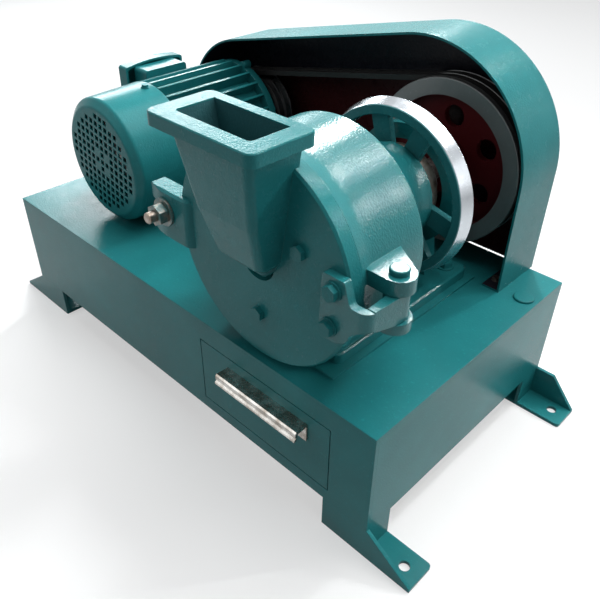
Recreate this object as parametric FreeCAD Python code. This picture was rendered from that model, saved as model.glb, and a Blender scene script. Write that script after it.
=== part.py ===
import FreeCAD, Part
import math
import os

# Disc pulverizer for seed and grain samples, belt driven, on a sheet-steel cabinet with a drawer.
# Millimetres. +Z up, +X to the right along the front, +Y to the back.
# Origin: on the floor, in the middle of the four foot bolt holes.

V = FreeCAD.Vector
UP = V(0, 0, 1)
BACK = V(0, 1, 0)
RIGHT = V(1, 0, 0)

# ---- fits and clearances -------------------------------------------------------------------
FIT = 0.05                      # radial gap of a running or sliding fit
SEAM = 0.4                      # gap between bodies that close on each other
TOUCH = 0.5                     # axial gap beside a turning piece

# ---- cabinet -------------------------------------------------------------------------------
BASE_LENGTH = 760.0
BASE_DEPTH = 412.0
BASE_TOP = 206.0
SHEET = 5.0
FOOT_HEIGHT = 50.0
FOOT_FLANGE = 46.0
FOOT_WALL = 5.0
FOOT_UNDER = 70.0               # length of a foot angle under the cabinet
FOOT_OUT = 68.0                 # length of a foot angle past the cabinet
FOOT_FLAT_BACK = 28.0           # level stretch of a rear foot's web before it slopes
FOOT_HOLE_R = 7.0
FOOT_HOLE_OUT = 45.0            # hole centre past the end of the cabinet
FOOT_HOLE_IN = 22.0             # hole centre in from the face of the cabinet
PLUG_X = 360.0                  # plug that closes the lifting hole in the top
PLUG_Y = 134.0
PLUG_R = 14.0
PLUG_T = 3.0
PLUG_NECK_R = 10.0

# ---- spindle line --------------------------------------------------------------------------
SPINDLE_X = 194.0
SPINDLE_Z = 343.0

# ---- chamber casting -----------------------------------------------------------------------
DOOR_FRONT_Y = -198.0
DOOR_T = 18.0
RIM_R = 133.5
DRUM_R = 128.0
RIM_TAPER = 20.0
DRUM_BACK_Y = -71.0
DRUM_WALL_BACK = 26.0
CHAMBER_R = 108.0
DRUM_CHAMFER = 3.0
BOSS_R = 67.0
BOSS_END_Y = 26.0
QUILL_R = 45.0
PAD_T = 3.0
PAD_HALF = 92.0
PAD_FRONT_Y = -170.0
PAD_BACK_Y = 128.0
BED_T = 15.0
BED_CORNER_R = 10.0
BED_BEVEL = 2.0
CHEEK_UNDER = 70.0              # top of the cheeks under the spindle line
BED_HALF = 82.0
BED_FRONT_Y = -150.0
BED_BACK_Y = 122.0
PEDESTAL_HALF = 46.0
STEADY_R = 81.0                 # the ring behind the hand wheel, cast with the body
STEADY_BORE_R = 61.0
STEADY_Y0 = 60.0
STEADY_Y1 = 84.0
STEADY_POST_HALF = 54.0
MILL_BOLT_X = 59.0
MILL_BOLT_YS = (-38.0, 99.0)
MILL_BOLT_R = 6.0
DISCHARGE_HALF = 42.0
DISCHARGE_Y0 = -150.0 + 6.0
DISCHARGE_Y1 = -104.0

# ---- door and hopper -----------------------------------------------------------------------
FEED_R = 26.0
HOPPER_TOP_Z = 508.0
HOPPER_FLANGE_T = 14.0
HOPPER_FLANGE_HALF = 75.0
HOPPER_FLANGE_Y0 = -270.0
HOPPER_FLANGE_Y1 = -187.0
HOPPER_HALF_TOP = 56.0
HOPPER_HALF_MID = 45.0
HOPPER_HALF_LOW = 36.0
HOPPER_MID_Z = 409.0
HOPPER_LOW_Z = 354.0
HOPPER_TIP_Z = 322.0
HOPPER_FRONT_TOP = 58.0         # how far the front wall stands out from the door at each level
HOPPER_FRONT_MID = 45.0
HOPPER_FRONT_LOW = 29.0
HOPPER_WALL = 8.0
HOPPER_CORNER_R = 9.0           # the two upright front corners
HOPPER_CORNER_FLATS = 6
HOPPER_COLLAR = 8.0             # fillet under the flange
FLANGE_CORNER_R = 10.0
FLANGE_BEVEL = 1.2
MOUTH_HALF = 53.0
MOUTH_Y0 = -250.0
MOUTH_Y1 = -201.0

# ---- grinding discs ------------------------------------------------------------------------
DISC_R = 87.5
DISC_T = 14.0
DISC_HOLE_R = 30.0
DISC_GAP = 1.5
DISC_RIBS = 12
RIB_DEPTH = 3.0
RIB_WIDTH = 7.0
DISC_BOLT_RING = 73.0
DISC_BOLT_R = 5.0
HEAD_R = 80.0
HEAD_T = 14.0
PILOT_INSET = 6.0
ROTOR_NUT_AF = 32.0
NUT_CROWN = 4.0

# ---- spindle and quill ---------------------------------------------------------------------
SPINDLE_R = 22.0
SPINDLE_FRONT_Y = -165.0
SPINDLE_END_Y = 193.0
SPINDLE_SEAT_R = 17.5
PULLEY_SEAT_R = 15.0
NOSE_R = 12.0
BEARING_R = 36.0
BEARING_W = 17.0
BEARING_RACE = 6.0
BEARING_BALLS = 9
QUILL_FRONT_Y = -92.0
QUILL_END_Y = 72.0
QUILL_CORE_R = 31.0
CAP_T = 6.0
CAP_R = 42.0
THREAD_R = 43.0
QUILL_TRAVEL = 6.0
KEY_SCREW_Y = 6.0
KEY_SCREW_R = 4.0
KEY_SCREW_ANGLE = 168.0

# ---- adjusting nut and hand wheel ----------------------------------------------------------
NUT_R = 58.0
NUT_END_Y = 58.0
RETAINER_R = 65.0
RETAINER_T = 8.0
NUT_FLANGE_R = 56.5
NUT_NECK_R = 52.0
WHEEL_R = 117.5
WHEEL_FACE_R = 112.0
WHEEL_BORE_R = 100.0
WHEEL_FRONT_Y = 23.0
WHEEL_W = 22.0
WHEEL_BEVEL_Y = 19.0
SPOKE_PAIRS = 3
SPOKE_PAIR_START = 86.5
SPOKE_SPREAD = 20.0             # from the middle of a pair to each of its spokes
SPOKE_W = 25.0
SPOKE_T = 9.0
SPOKE_Y = 35.0

# ---- belt drive ----------------------------------------------------------------------------
BIG_PULLEY_R = 117.0
BIG_RIM_INNER_R = 94.0
BIG_PULLEY_Y = 148.0
BIG_PULLEY_W = 42.0
BIG_WEB_Y = 164.0
BIG_WEB_T = 10.0
BIG_HUB_R = 33.0
BIG_HUB_Y = 134.0
WEB_HOLES = 6
WEB_HOLE_R = 15.0
WEB_HOLE_RING = 64.0
SMALL_PULLEY_R = 72.0
SMALL_PULLEY_Y = 155.0
SMALL_PULLEY_W = 35.0
BELT_YS = (164.5, 180.5)
BELT_TOP_W = 13.0
BELT_H = 8.0
BELT_BOTTOM_W = 7.2
BELT_GAP = 0.5
KEY_W = 8.0
KEY_H = 7.0

# ---- guard ---------------------------------------------------------------------------------
GUARD_T = 3.0
GUARD_FRONT_Y = 120.0
GUARD_BACK_Y = 213.0
GUARD_RIGHT_R = 160.0
GUARD_RIGHT_X = 169.0
GUARD_RIGHT_Z = 355.5
GUARD_LEFT_R = 142.0
GUARD_LEFT_X = -177.0
GUARD_LEFT_Z = 298.0
GUARD_TAB = 26.0

# ---- motor ---------------------------------------------------------------------------------
MOTOR_X = -208.0
SHAFT_HEIGHT = 100.0
MOTOR_FRONT_Y = -142.5
COWL_FACE_R = 83.0              # flat of the fan cowl's face
COWL_SHOULDER_R = 94.5          # where its bevel meets its bell
COWL_SHOULDER = 9.0             # depth of the bevel
COWL_R = 97.5                   # at the rear edge
COWL_T = 2.0
COWL_REAR_Y = -46.0
COWL_LAP = 6.0                  # how far the cowl reaches over the frame
COWL_BEND_R = 7.0
COWL_SCREW_R = 3.0
COWL_SCREW_ANGLES = (84.0, 200.0, 340.0)
GRILLE_R = 73.0                 # reach of the holes' middles
GRILLE_PITCH = 11.8
GRILLE_HOLE = 7.7
GRILLE_TURN = -10.0             # the cowl sits a little turned on its lugs
FRAME_R = 80.0
FIN_R = 97.0
FIN_T = 3.6
FIN_COUNT = 28
FRAME_BACK_Y = 120.0
SHIELD_BACK_Y = 150.0
SHIELD_R = 95.0
SHIELD_RIB_COUNT = 8
SHIELD_LUG_ANGLES = (75.0, 165.0, 345.0)
SHIELD_LUG_REACH = 104.0
SHIELD_LUG_W = 12.0
SHIELD_LUG_T = 14.0
STATOR_R = 74.0
STATOR_BORE_R = 46.0
CORE_GAP = 0.5
MOTOR_SHAFT_R = 14.0
MOTOR_SHAFT_END_Y = 193.0
MOTOR_SEAT_R = 15.0
MOTOR_BEARING_R = 31.0
MOTOR_BEARING_W = 16.0
MOTOR_FOOT_HALF = 98.0
MOTOR_FOOT_W = 40.0
MOTOR_FOOT_T = 12.0
MOTOR_BOLT_X = 80.0
MOTOR_BOLT_Y1 = 94.0
MOTOR_BOLT_PITCH = 140.0
MOTOR_BOLT_R = 5.0
MOTOR_SLOT = 14.0
FAN_R = 80.0
FAN_BLADES = 8
BOX_REACH = 168.0               # terminal lid's outer face from the motor axis
BOX_DEPTH = 34.0
BOX_INSET = 17.0                # box wall in from the lid's ends
BOX_DROP = 7.0                  # box top under the lid's top
LID_T = 23.0
LID_TOP = 81.0                  # top of the lid's dome over the motor axis
LID_BOTTOM = -24.0
LID_Y0 = 8.0
LID_Y1 = 126.0
LID_OVERHANG = 9.0
LID_CROWN = 6.0                 # rise of the dome over the lid's top corners

# ---- drawer --------------------------------------------------------------------------------
DRAWER_X0 = 87.0
DRAWER_X1 = 316.0
DRAWER_Z0 = 70.0
DRAWER_Z1 = 172.0
DRAWER_GAP = 1.5
TRAY_T = 1.5
TRAY_DEPTH = 255.0
TRAY_INSET = 8.0
HANDLE_LENGTH = 142.0
HANDLE_X = 211.0
HANDLE_Z = 157.0
HANDLE_REACH = 21.0
RUNNER_W = 18.0
RUNNER_T = 3.0
HANGER_T = 4.0
CHUTE_DROP = 14.0

# ---- hinge ---------------------------------------------------------------------------------
HINGE_X = 347.0
HINGE_Y = -151.5
HINGE_PIN_R = 8.0
HINGE_HEAD_R = 10.5
HINGE_HEAD_T = 6.0
LUG_TOP_Z = 376.0
LUG_T = 17.5
LOW_LUG_T = 12.5
LUG_R = 18.5                    # round end of the lugs about the pin
LUG_SLANT = 58.0                # the slanted back edge is square to this direction
KNUCKLE_H = 33.5
KNUCKLE_R = 14.0
ARM_T = 10.0
ARM_BAR_T = 8.0
ARM_BAR_H = 21.0                # height of the bar where it leaves the plate
ARM_BEND_R = 13.0
ARM_TOP_Z = 380.0
ARM_LEFT_X = 297.0
ARM_RIGHT_X = 325.5
ARM_BOTTOM_Z = 302.5
ARM_BOLTS = ((312.0, 364.0), (308.5, 319.0))

# ---- latch ---------------------------------------------------------------------------------
LATCH_X = 38.0
LATCH_PIVOT_Y = -120.0
LATCH_R = 7.0
LATCH_EYE_R = 13.0
LATCH_EYE_H = 18.0
LATCH_PIN_R = 6.0
LATCH_EAR_T = 10.0
LATCH_END_Y = -232.0
CATCH_X0 = 7.0
CATCH_X1 = 85.0
CATCH_UP = 28.0                 # top and bottom of the catch from the bolt's line
CATCH_DOWN = 35.0
CATCH_CORNER_R = 13.0
CATCH_BEVEL = 3.0
CATCH_FRONT_Y = -205.0
CATCH_BACK_Y = -181.0
WASHER_R = 18.0
WASHER_T = 3.0
LATCH_NUT_AF = 24.0
LATCH_NUT_H = 12.0

# ---- worked-out levels ---------------------------------------------------------------------
HALF_L = BASE_LENGTH / 2
HALF_D = BASE_DEPTH / 2
PLATE_UNDER = BASE_TOP - SHEET
PAD_TOP = BASE_TOP + PAD_T
BED_TOP = PAD_TOP + BED_T
MOTOR_Z = BASE_TOP + SHAFT_HEIGHT
FRAME_FRONT_Y = COWL_REAR_Y - COWL_LAP
DOOR_BACK_Y = DOOR_FRONT_Y + DOOR_T
DRUM_FRONT_Y = DOOR_BACK_Y + SEAM
CHAMBER_BACK_Y = DRUM_BACK_Y - DRUM_WALL_BACK
FIXED_FACE_Y = DOOR_BACK_Y + DISC_T
ROTOR_FACE_Y = FIXED_FACE_Y + DISC_GAP
ROTOR_BACK_Y = ROTOR_FACE_Y + DISC_T
HEAD_BACK_Y = ROTOR_BACK_Y + HEAD_T
BEARING_FRONT_Y = QUILL_FRONT_Y
BEARING_REAR_Y = QUILL_END_Y - BEARING_W
BELT_BIG_R = BIG_PULLEY_R - 0.5
BELT_SMALL_R = SMALL_PULLEY_R - 0.5
KNUCKLE_TOP_Z = LUG_TOP_Z - LUG_T - TOUCH
KNUCKLE_LOW_Z = KNUCKLE_TOP_Z - KNUCKLE_H
LOW_LUG_Z = KNUCKLE_LOW_Z - TOUCH
LATCH_Z = SPINDLE_Z


# ---- shape helpers -------------------------------------------------------------------------
def box(x0, x1, y0, y1, z0, z1):
    return Part.makeBox(x1 - x0, y1 - y0, z1 - z0, V(x0, y0, z0))


def rod_y(x, z, r, y0, y1):
    return Part.makeCylinder(r, y1 - y0, V(x, y0, z), BACK)


def rod_z(x, y, r, z0, z1):
    return Part.makeCylinder(r, z1 - z0, V(x, y, z0), UP)


def rod_x(y, z, r, x0, x1):
    return Part.makeCylinder(r, x1 - x0, V(x0, y, z), RIGHT)


def ring_y(x, z, r_out, r_in, y0, y1):
    return rod_y(x, z, r_out, y0, y1).cut(rod_y(x, z, r_in, y0 - 1, y1 + 1))


def face_of(points):
    return Part.Face(Part.makePolygon(list(points) + [points[0]]))


def corner_run(points, n):
    """Where the rounding of corner n starts, its middle and where it ends."""
    u, v, r = points[n]
    if r == 0:
        return (u, v), None, (u, v)
    before, after = points[n - 1], points[(n + 1) % len(points)]
    back = math.hypot(before[0] - u, before[1] - v)
    ahead = math.hypot(after[0] - u, after[1] - v)
    a = ((before[0] - u) / back, (before[1] - v) / back)
    b = ((after[0] - u) / ahead, (after[1] - v) / ahead)
    half = math.acos(a[0] * b[0] + a[1] * b[1]) / 2
    run = min(r / math.tan(half), 0.49 * back, 0.49 * ahead)
    r = run * math.tan(half)
    inward = math.hypot(a[0] + b[0], a[1] + b[1])
    reach = (run / math.cos(half) - r) / inward
    middle = (u + (a[0] + b[0]) * reach, v + (a[1] + b[1]) * reach)
    return (u + a[0] * run, v + a[1] * run), middle, (u + b[0] * run, v + b[1] * run)


def rounded_wire(points, at):
    """A closed outline of straight runs and arcs. Each point is (u, v, corner radius)."""
    runs = [corner_run(points, n) for n in range(len(points))]
    edges = []
    for n, (start, middle, end) in enumerate(runs):
        edges.append(Part.LineSegment(at(*runs[n - 1][2]), at(*start)).toShape())
        if middle:
            edges.append(Part.Arc(at(*start), at(*middle), at(*end)).toShape())
    return Part.Wire(edges)


def rounded_slab_y(points, y0, y1):
    """A rounded outline of (x, z, radius) points, from y0 to y1."""
    return Part.Face(rounded_wire(points, lambda x, z: V(x, y0, z))).extrude(V(0, y1 - y0, 0))


def rounded_slab_z(points, z0, z1):
    """A rounded outline of (x, y, radius) points, from z0 to z1."""
    return Part.Face(rounded_wire(points, lambda x, y: V(x, y, z0))).extrude(V(0, 0, z1 - z0))


def rounded_slab_x(points, x0, x1):
    """A rounded outline of (y, z, radius) points, from x0 to x1."""
    return Part.Face(rounded_wire(points, lambda y, z: V(x0, y, z))).extrude(V(x1 - x0, 0, 0))


def rounded_turned_y(x, z, profile):
    """A solid of revolution about the line along Y, from (y, r, corner radius) points."""
    wire = rounded_wire(profile, lambda y, r: V(x + r, y, z))
    return Part.Face(wire).revolve(V(x, 0, z), BACK, 360)


def turned_y(x, z, profile):
    """A solid of revolution about the line along Y through x, z. The profile is (y, r) points."""
    points = [V(x + r, y, z) for y, r in profile]
    return face_of(points).revolve(V(x, 0, z), BACK, 360)


def slab_y(points, y0, y1):
    """A polygon of (x, z) points, from y0 to y1."""
    return face_of([V(x, y0, z) for x, z in points]).extrude(V(0, y1 - y0, 0))


def slab_z(points, z0, z1):
    """A polygon of (x, y) points, from z0 to z1."""
    return face_of([V(x, y, z0) for x, y in points]).extrude(V(0, 0, z1 - z0))


def slab_x(points, x0, x1):
    """A polygon of (y, z) points, from x0 to x1."""
    return face_of([V(x0, y, z) for y, z in points]).extrude(V(x1 - x0, 0, 0))


def hexagon_y(x, z, across_flats, y0, y1):
    r = across_flats / math.sqrt(3)
    angles = [math.radians(30 + 60 * n) for n in range(6)]
    return slab_y([(x + r * math.cos(a), z + r * math.sin(a)) for a in angles], y0, y1)


def hexagon_z(x, y, across_flats, z0, z1):
    r = across_flats / math.sqrt(3)
    angles = [math.radians(60 * n) for n in range(6)]
    return slab_z([(x + r * math.cos(a), y + r * math.sin(a)) for a in angles], z0, z1)


def fused(shapes):
    shapes = list(shapes)
    return shapes[0].multiFuse(shapes[1:]).removeSplitter()


def around(x, z, count, start=0.0):
    """The angle, in degrees, of each copy in a ring of count."""
    return [start + 360.0 * n / count for n in range(count)]


def on_ring(x, z, r, degrees):
    a = math.radians(degrees)
    return x + r * math.cos(a), z + r * math.sin(a)


def turned_copy(shape, x, z, degrees):
    copy = shape.copy()
    copy.rotate(V(x, 0, z), BACK, -degrees)
    return copy


def upright_edges(shape, height):
    """The straight edges along Z that are as long as height."""
    return [e for e in shape.Edges if len(e.Vertexes) == 2 and abs(e.BoundBox.ZLength - height) < 1e-6]


def level_edges(shape, z):
    """The edges that lie wholly at height z."""
    return [e for e in shape.Edges if abs(e.BoundBox.ZMin - z) < 1e-5 and abs(e.BoundBox.ZMax - z) < 1e-5]


def mirrored_x(shape):
    return shape.mirror(V(0, 0, 0), RIGHT)


def hung_bolt(x, y, seat_z, r, grip):
    """A hex bolt with its washer on seat_z, and a nut under the grip."""
    head = hexagon_z(x, y, 3.0 * r, seat_z + 2.0, seat_z + 2.0 + 1.3 * r)
    washer = rod_z(x, y, 2.1 * r, seat_z, seat_z + 2.0)
    shank = rod_z(x, y, r, seat_z - grip - 2.6 * r, seat_z + 1.0)
    nut = hexagon_z(x, y, 3.0 * r, seat_z - grip - 1.6 * r, seat_z - grip)
    return fused([head, washer, shank, nut])


def save(name, *shapes):
    shape = shapes[0] if len(shapes) == 1 else Part.makeCompound(list(shapes))
    shape.exportStep(os.path.join("parts", name + ".step"))
    solids = shape.Solids
    print(name, len(solids), "valid" if shape.isValid() else "NOT VALID", round(shape.Volume))


# ---- cabinet -------------------------------------------------------------------------------
def mill_bolt_places():
    return [(SPINDLE_X + side * MILL_BOLT_X, y) for side in (-1, 1) for y in MILL_BOLT_YS]


def motor_bolt_places():
    ys = (MOTOR_BOLT_Y1 - MOTOR_BOLT_PITCH, MOTOR_BOLT_Y1)
    return [(MOTOR_X + side * MOTOR_BOLT_X, y) for side in (-1, 1) for y in ys]


def discharge_hole(z0, z1, grow=0.0):
    half = DISCHARGE_HALF + grow
    return box(SPINDLE_X - half, SPINDLE_X + half, DISCHARGE_Y0 - grow, DISCHARGE_Y1 + grow, z0, z1)


def make_top_plate():
    plate = box(-HALF_L, HALF_L, -HALF_D, HALF_D, PLATE_UNDER, BASE_TOP)
    cuts = [discharge_hole(PLATE_UNDER - 1, BASE_TOP + 1)]
    for x, y in mill_bolt_places():
        cuts.append(rod_z(x, y, MILL_BOLT_R + 0.5, PLATE_UNDER - 1, BASE_TOP + 1))
    cuts.append(rod_z(PLUG_X, PLUG_Y, PLUG_NECK_R + FIT, PLATE_UNDER - 1, BASE_TOP + 1))
    slot_r = MOTOR_BOLT_R + 0.5
    for x, y in motor_bolt_places():
        cuts.append(rod_z(x - MOTOR_SLOT, y, slot_r, PLATE_UNDER - 1, BASE_TOP + 1))
        cuts.append(rod_z(x + MOTOR_SLOT, y, slot_r, PLATE_UNDER - 1, BASE_TOP + 1))
        cuts.append(box(x - MOTOR_SLOT, x + MOTOR_SLOT, y - slot_r, y + slot_r, PLATE_UNDER - 1, BASE_TOP + 1))
    return plate.cut(Part.makeCompound(cuts))


def make_long_panel(front):
    """The front panel has the drawer opening."""
    y0 = -HALF_D if front else HALF_D - SHEET
    panel = box(-HALF_L, HALF_L, y0, y0 + SHEET, FOOT_HEIGHT, PLATE_UNDER)
    if front:
        gap = DRAWER_GAP
        hole = box(DRAWER_X0 - gap, DRAWER_X1 + gap, y0 - 1, y0 + SHEET + 1, DRAWER_Z0 - gap, DRAWER_Z1 + gap)
        panel = panel.cut(hole)
    return panel


def make_end_panel(side):
    """An end panel, with a leg at each corner down to the foot flange."""
    inner = HALF_D - SHEET
    leg = HALF_D - FOOT_FLANGE
    outline = [
        (-inner, FOOT_WALL),
        (-leg, FOOT_WALL),
        (-leg, FOOT_HEIGHT),
        (leg, FOOT_HEIGHT),
        (leg, FOOT_WALL),
        (inner, FOOT_WALL),
        (inner, PLATE_UNDER),
        (-inner, PLATE_UNDER),
    ]
    x0 = HALF_L - SHEET if side > 0 else -HALF_L
    return slab_x(outline, x0, x0 + SHEET)


def make_foot(side, front):
    """An angle foot: its web lies in the plane of the panel and slopes off outside the cabinet."""
    inside = HALF_L - FOOT_UNDER
    tip = HALF_L + FOOT_OUT
    flat = HALF_L + (0.0 if front else FOOT_FLAT_BACK)
    face = -HALF_D if front else HALF_D
    inward = 1 if front else -1
    web_y = sorted((face, face + inward * FOOT_WALL))
    flange_y = sorted((face, face + inward * FOOT_FLANGE))
    web = slab_y(
        [(inside, 0), (tip, 0), (tip, FOOT_WALL), (flat, FOOT_HEIGHT), (inside, FOOT_HEIGHT)],
        web_y[0],
        web_y[1],
    )
    flange = box(inside, tip, flange_y[0], flange_y[1], 0, FOOT_WALL)
    corner = [edge for edge in flange.Edges if is_outer_corner(edge, tip, face + inward * FOOT_FLANGE)]
    flange = flange.makeFillet(FOOT_WALL, corner)
    hole_y = face + inward * FOOT_HOLE_IN
    hole = rod_z(HALF_L + FOOT_HOLE_OUT, hole_y, FOOT_HOLE_R, -1, FOOT_WALL + 1)
    foot = fused([web, flange]).cut(hole)
    return foot if side > 0 else mirrored_x(foot)


def is_outer_corner(edge, x, y):
    ends = [v.Point for v in edge.Vertexes]
    return all(abs(p.x - x) < 1e-6 and abs(p.y - y) < 1e-6 for p in ends)


def make_top_plug():
    top = BASE_TOP + PLUG_T
    cap = rod_z(PLUG_X, PLUG_Y, PLUG_R, BASE_TOP, top)
    cap = cap.makeFillet(0.6 * PLUG_T, level_edges(cap, top))
    return cap.fuse(rod_z(PLUG_X, PLUG_Y, PLUG_NECK_R, PLATE_UNDER - 2.0, BASE_TOP + 1.0))


def make_pad_plate():
    pad = box(
        SPINDLE_X - PAD_HALF, SPINDLE_X + PAD_HALF, PAD_FRONT_Y, PAD_BACK_Y, BASE_TOP, PAD_TOP
    )
    holes = [rod_z(x, y, MILL_BOLT_R + 0.5, BASE_TOP - 1, PAD_TOP + 1) for x, y in mill_bolt_places()]
    return pad.cut(Part.makeCompound(holes + [discharge_hole(BASE_TOP - 1, PAD_TOP + 1)]))


def make_chute():
    low = DRAWER_Z1 + CHUTE_DROP / 2
    skirt = discharge_hole(low, PLATE_UNDER, 3.0)
    lip = discharge_hole(PLATE_UNDER - 2.0, PLATE_UNDER, 12.0)
    return fused([skirt, lip]).cut(discharge_hole(low - 1, PLATE_UNDER + 1))


def make_runners():
    """Two angle runners under the tray, welded to the front panel and to a hanger at the back."""
    y0 = -HALF_D + SHEET
    y1 = y0 + TRAY_DEPTH + 20.0
    floor_z = DRAWER_Z0 + 4.0
    runners = []
    for edge, inward in ((DRAWER_X0 + TRAY_INSET, 1), (DRAWER_X1 - TRAY_INSET, -1)):
        outer = edge - inward * (SEAM + RUNNER_T)
        shelf = sorted((outer, outer + inward * RUNNER_W))
        wall = sorted((outer, outer + inward * RUNNER_T))
        parts = [
            box(shelf[0], shelf[1], y0, y1, floor_z - SEAM - RUNNER_T, floor_z - SEAM),
            box(wall[0], wall[1], y0, y1, floor_z - SEAM - RUNNER_T, floor_z + RUNNER_W),
            box(shelf[0], shelf[1], y1, y1 + HANGER_T, floor_z - SEAM - RUNNER_T, PLATE_UNDER),
        ]
        runners.append(fused(parts))
    return runners


# ---- drawer --------------------------------------------------------------------------------
def make_drawer_front():
    return box(DRAWER_X0, DRAWER_X1, -HALF_D, -HALF_D + SHEET, DRAWER_Z0, DRAWER_Z1)


def make_tray():
    x0 = DRAWER_X0 + TRAY_INSET
    x1 = DRAWER_X1 - TRAY_INSET
    y0 = -HALF_D + SHEET
    z0 = DRAWER_Z0 + 4.0
    z1 = DRAWER_Z1 - 6.0
    outer = box(x0, x1, y0, y0 + TRAY_DEPTH, z0, z1)
    inner = box(x0 + TRAY_T, x1 - TRAY_T, y0 + TRAY_T, y0 + TRAY_DEPTH - TRAY_T, z0 + TRAY_T, z1 + 1)
    return outer.cut(inner)


def make_handle():
    """An aluminium pull extruded along X: back leg, top shelf and a grooved front lip."""
    face = -HALF_D
    front = face - HANDLE_REACH
    wall = 2.5
    outline = [
        (face, HANDLE_Z),
        (front + 2.0, HANDLE_Z + 1.0),
        (front, HANDLE_Z - 1.0),
        (front, HANDLE_Z - 7.0),
        (front + 1.8, HANDLE_Z - 8.5),
        (front - 1.6, HANDLE_Z - 10.5),
        (front - 2.0, HANDLE_Z - 13.0),
        (front + 1.5, HANDLE_Z - 14.0),
        (front + 4.0, HANDLE_Z - 9.0),
        (front + 4.0, HANDLE_Z - wall - 1.0),
        (face - wall, HANDLE_Z - wall),
        (face - wall, HANDLE_Z - 26.0),
        (face, HANDLE_Z - 26.0),
    ]
    return slab_x(outline, HANDLE_X - HANDLE_LENGTH / 2, HANDLE_X + HANDLE_LENGTH / 2)


def make_handle_screws():
    screws = []
    leg = 2.5
    for side in (-1, 1):
        x = HANDLE_X + side * (HANDLE_LENGTH / 2 - 18.0)
        z = HANDLE_Z - 19.0
        head = rod_y(x, z, 4.0, -HALF_D - leg - 2.4, -HALF_D - leg)
        screws.append(head)
    return screws


# ---- chamber casting -----------------------------------------------------------------------
def hinge_lug(z0, z1):
    """A lug on the right of the drum, round about the pin and slanted at the back."""
    root = SPINDLE_X + DRUM_R * 0.75
    a = math.radians(LUG_SLANT)
    tangent = (HINGE_X + LUG_R * math.cos(a), HINGE_Y + LUG_R * math.sin(a))
    outline = [
        (root, HINGE_Y - LUG_R),
        (HINGE_X, HINGE_Y - LUG_R),
        (HINGE_X, HINGE_Y),
        tangent,
        (root, tangent[1] + (tangent[0] - root) / math.tan(a)),
    ]
    return slab_z(outline, z0, z1).fuse(rod_z(HINGE_X, HINGE_Y, LUG_R, z0, z1))


def latch_ear(z0, z1):
    root = SPINDLE_X - DRUM_R * 0.8
    ear = box(LATCH_X, root, LATCH_PIVOT_Y - LATCH_EYE_R, LATCH_PIVOT_Y + LATCH_EYE_R, z0, z1)
    return ear.fuse(rod_z(LATCH_X, LATCH_PIVOT_Y, LATCH_EYE_R, z0, z1))


def latch_ear_levels():
    half = LATCH_EYE_H / 2 + TOUCH
    return (
        (LATCH_Z - half - LATCH_EAR_T, LATCH_Z - half),
        (LATCH_Z + half, LATCH_Z + half + LATCH_EAR_T),
    )


def along_radius(r0, r1, radius, y, degrees):
    """A rod from r0 to r1 out from the spindle line."""
    a = math.radians(degrees)
    out = V(math.cos(a), 0, math.sin(a))
    start = V(SPINDLE_X, y, SPINDLE_Z) + out * r0
    return Part.makeCylinder(radius, r1 - r0, start, out)


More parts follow.
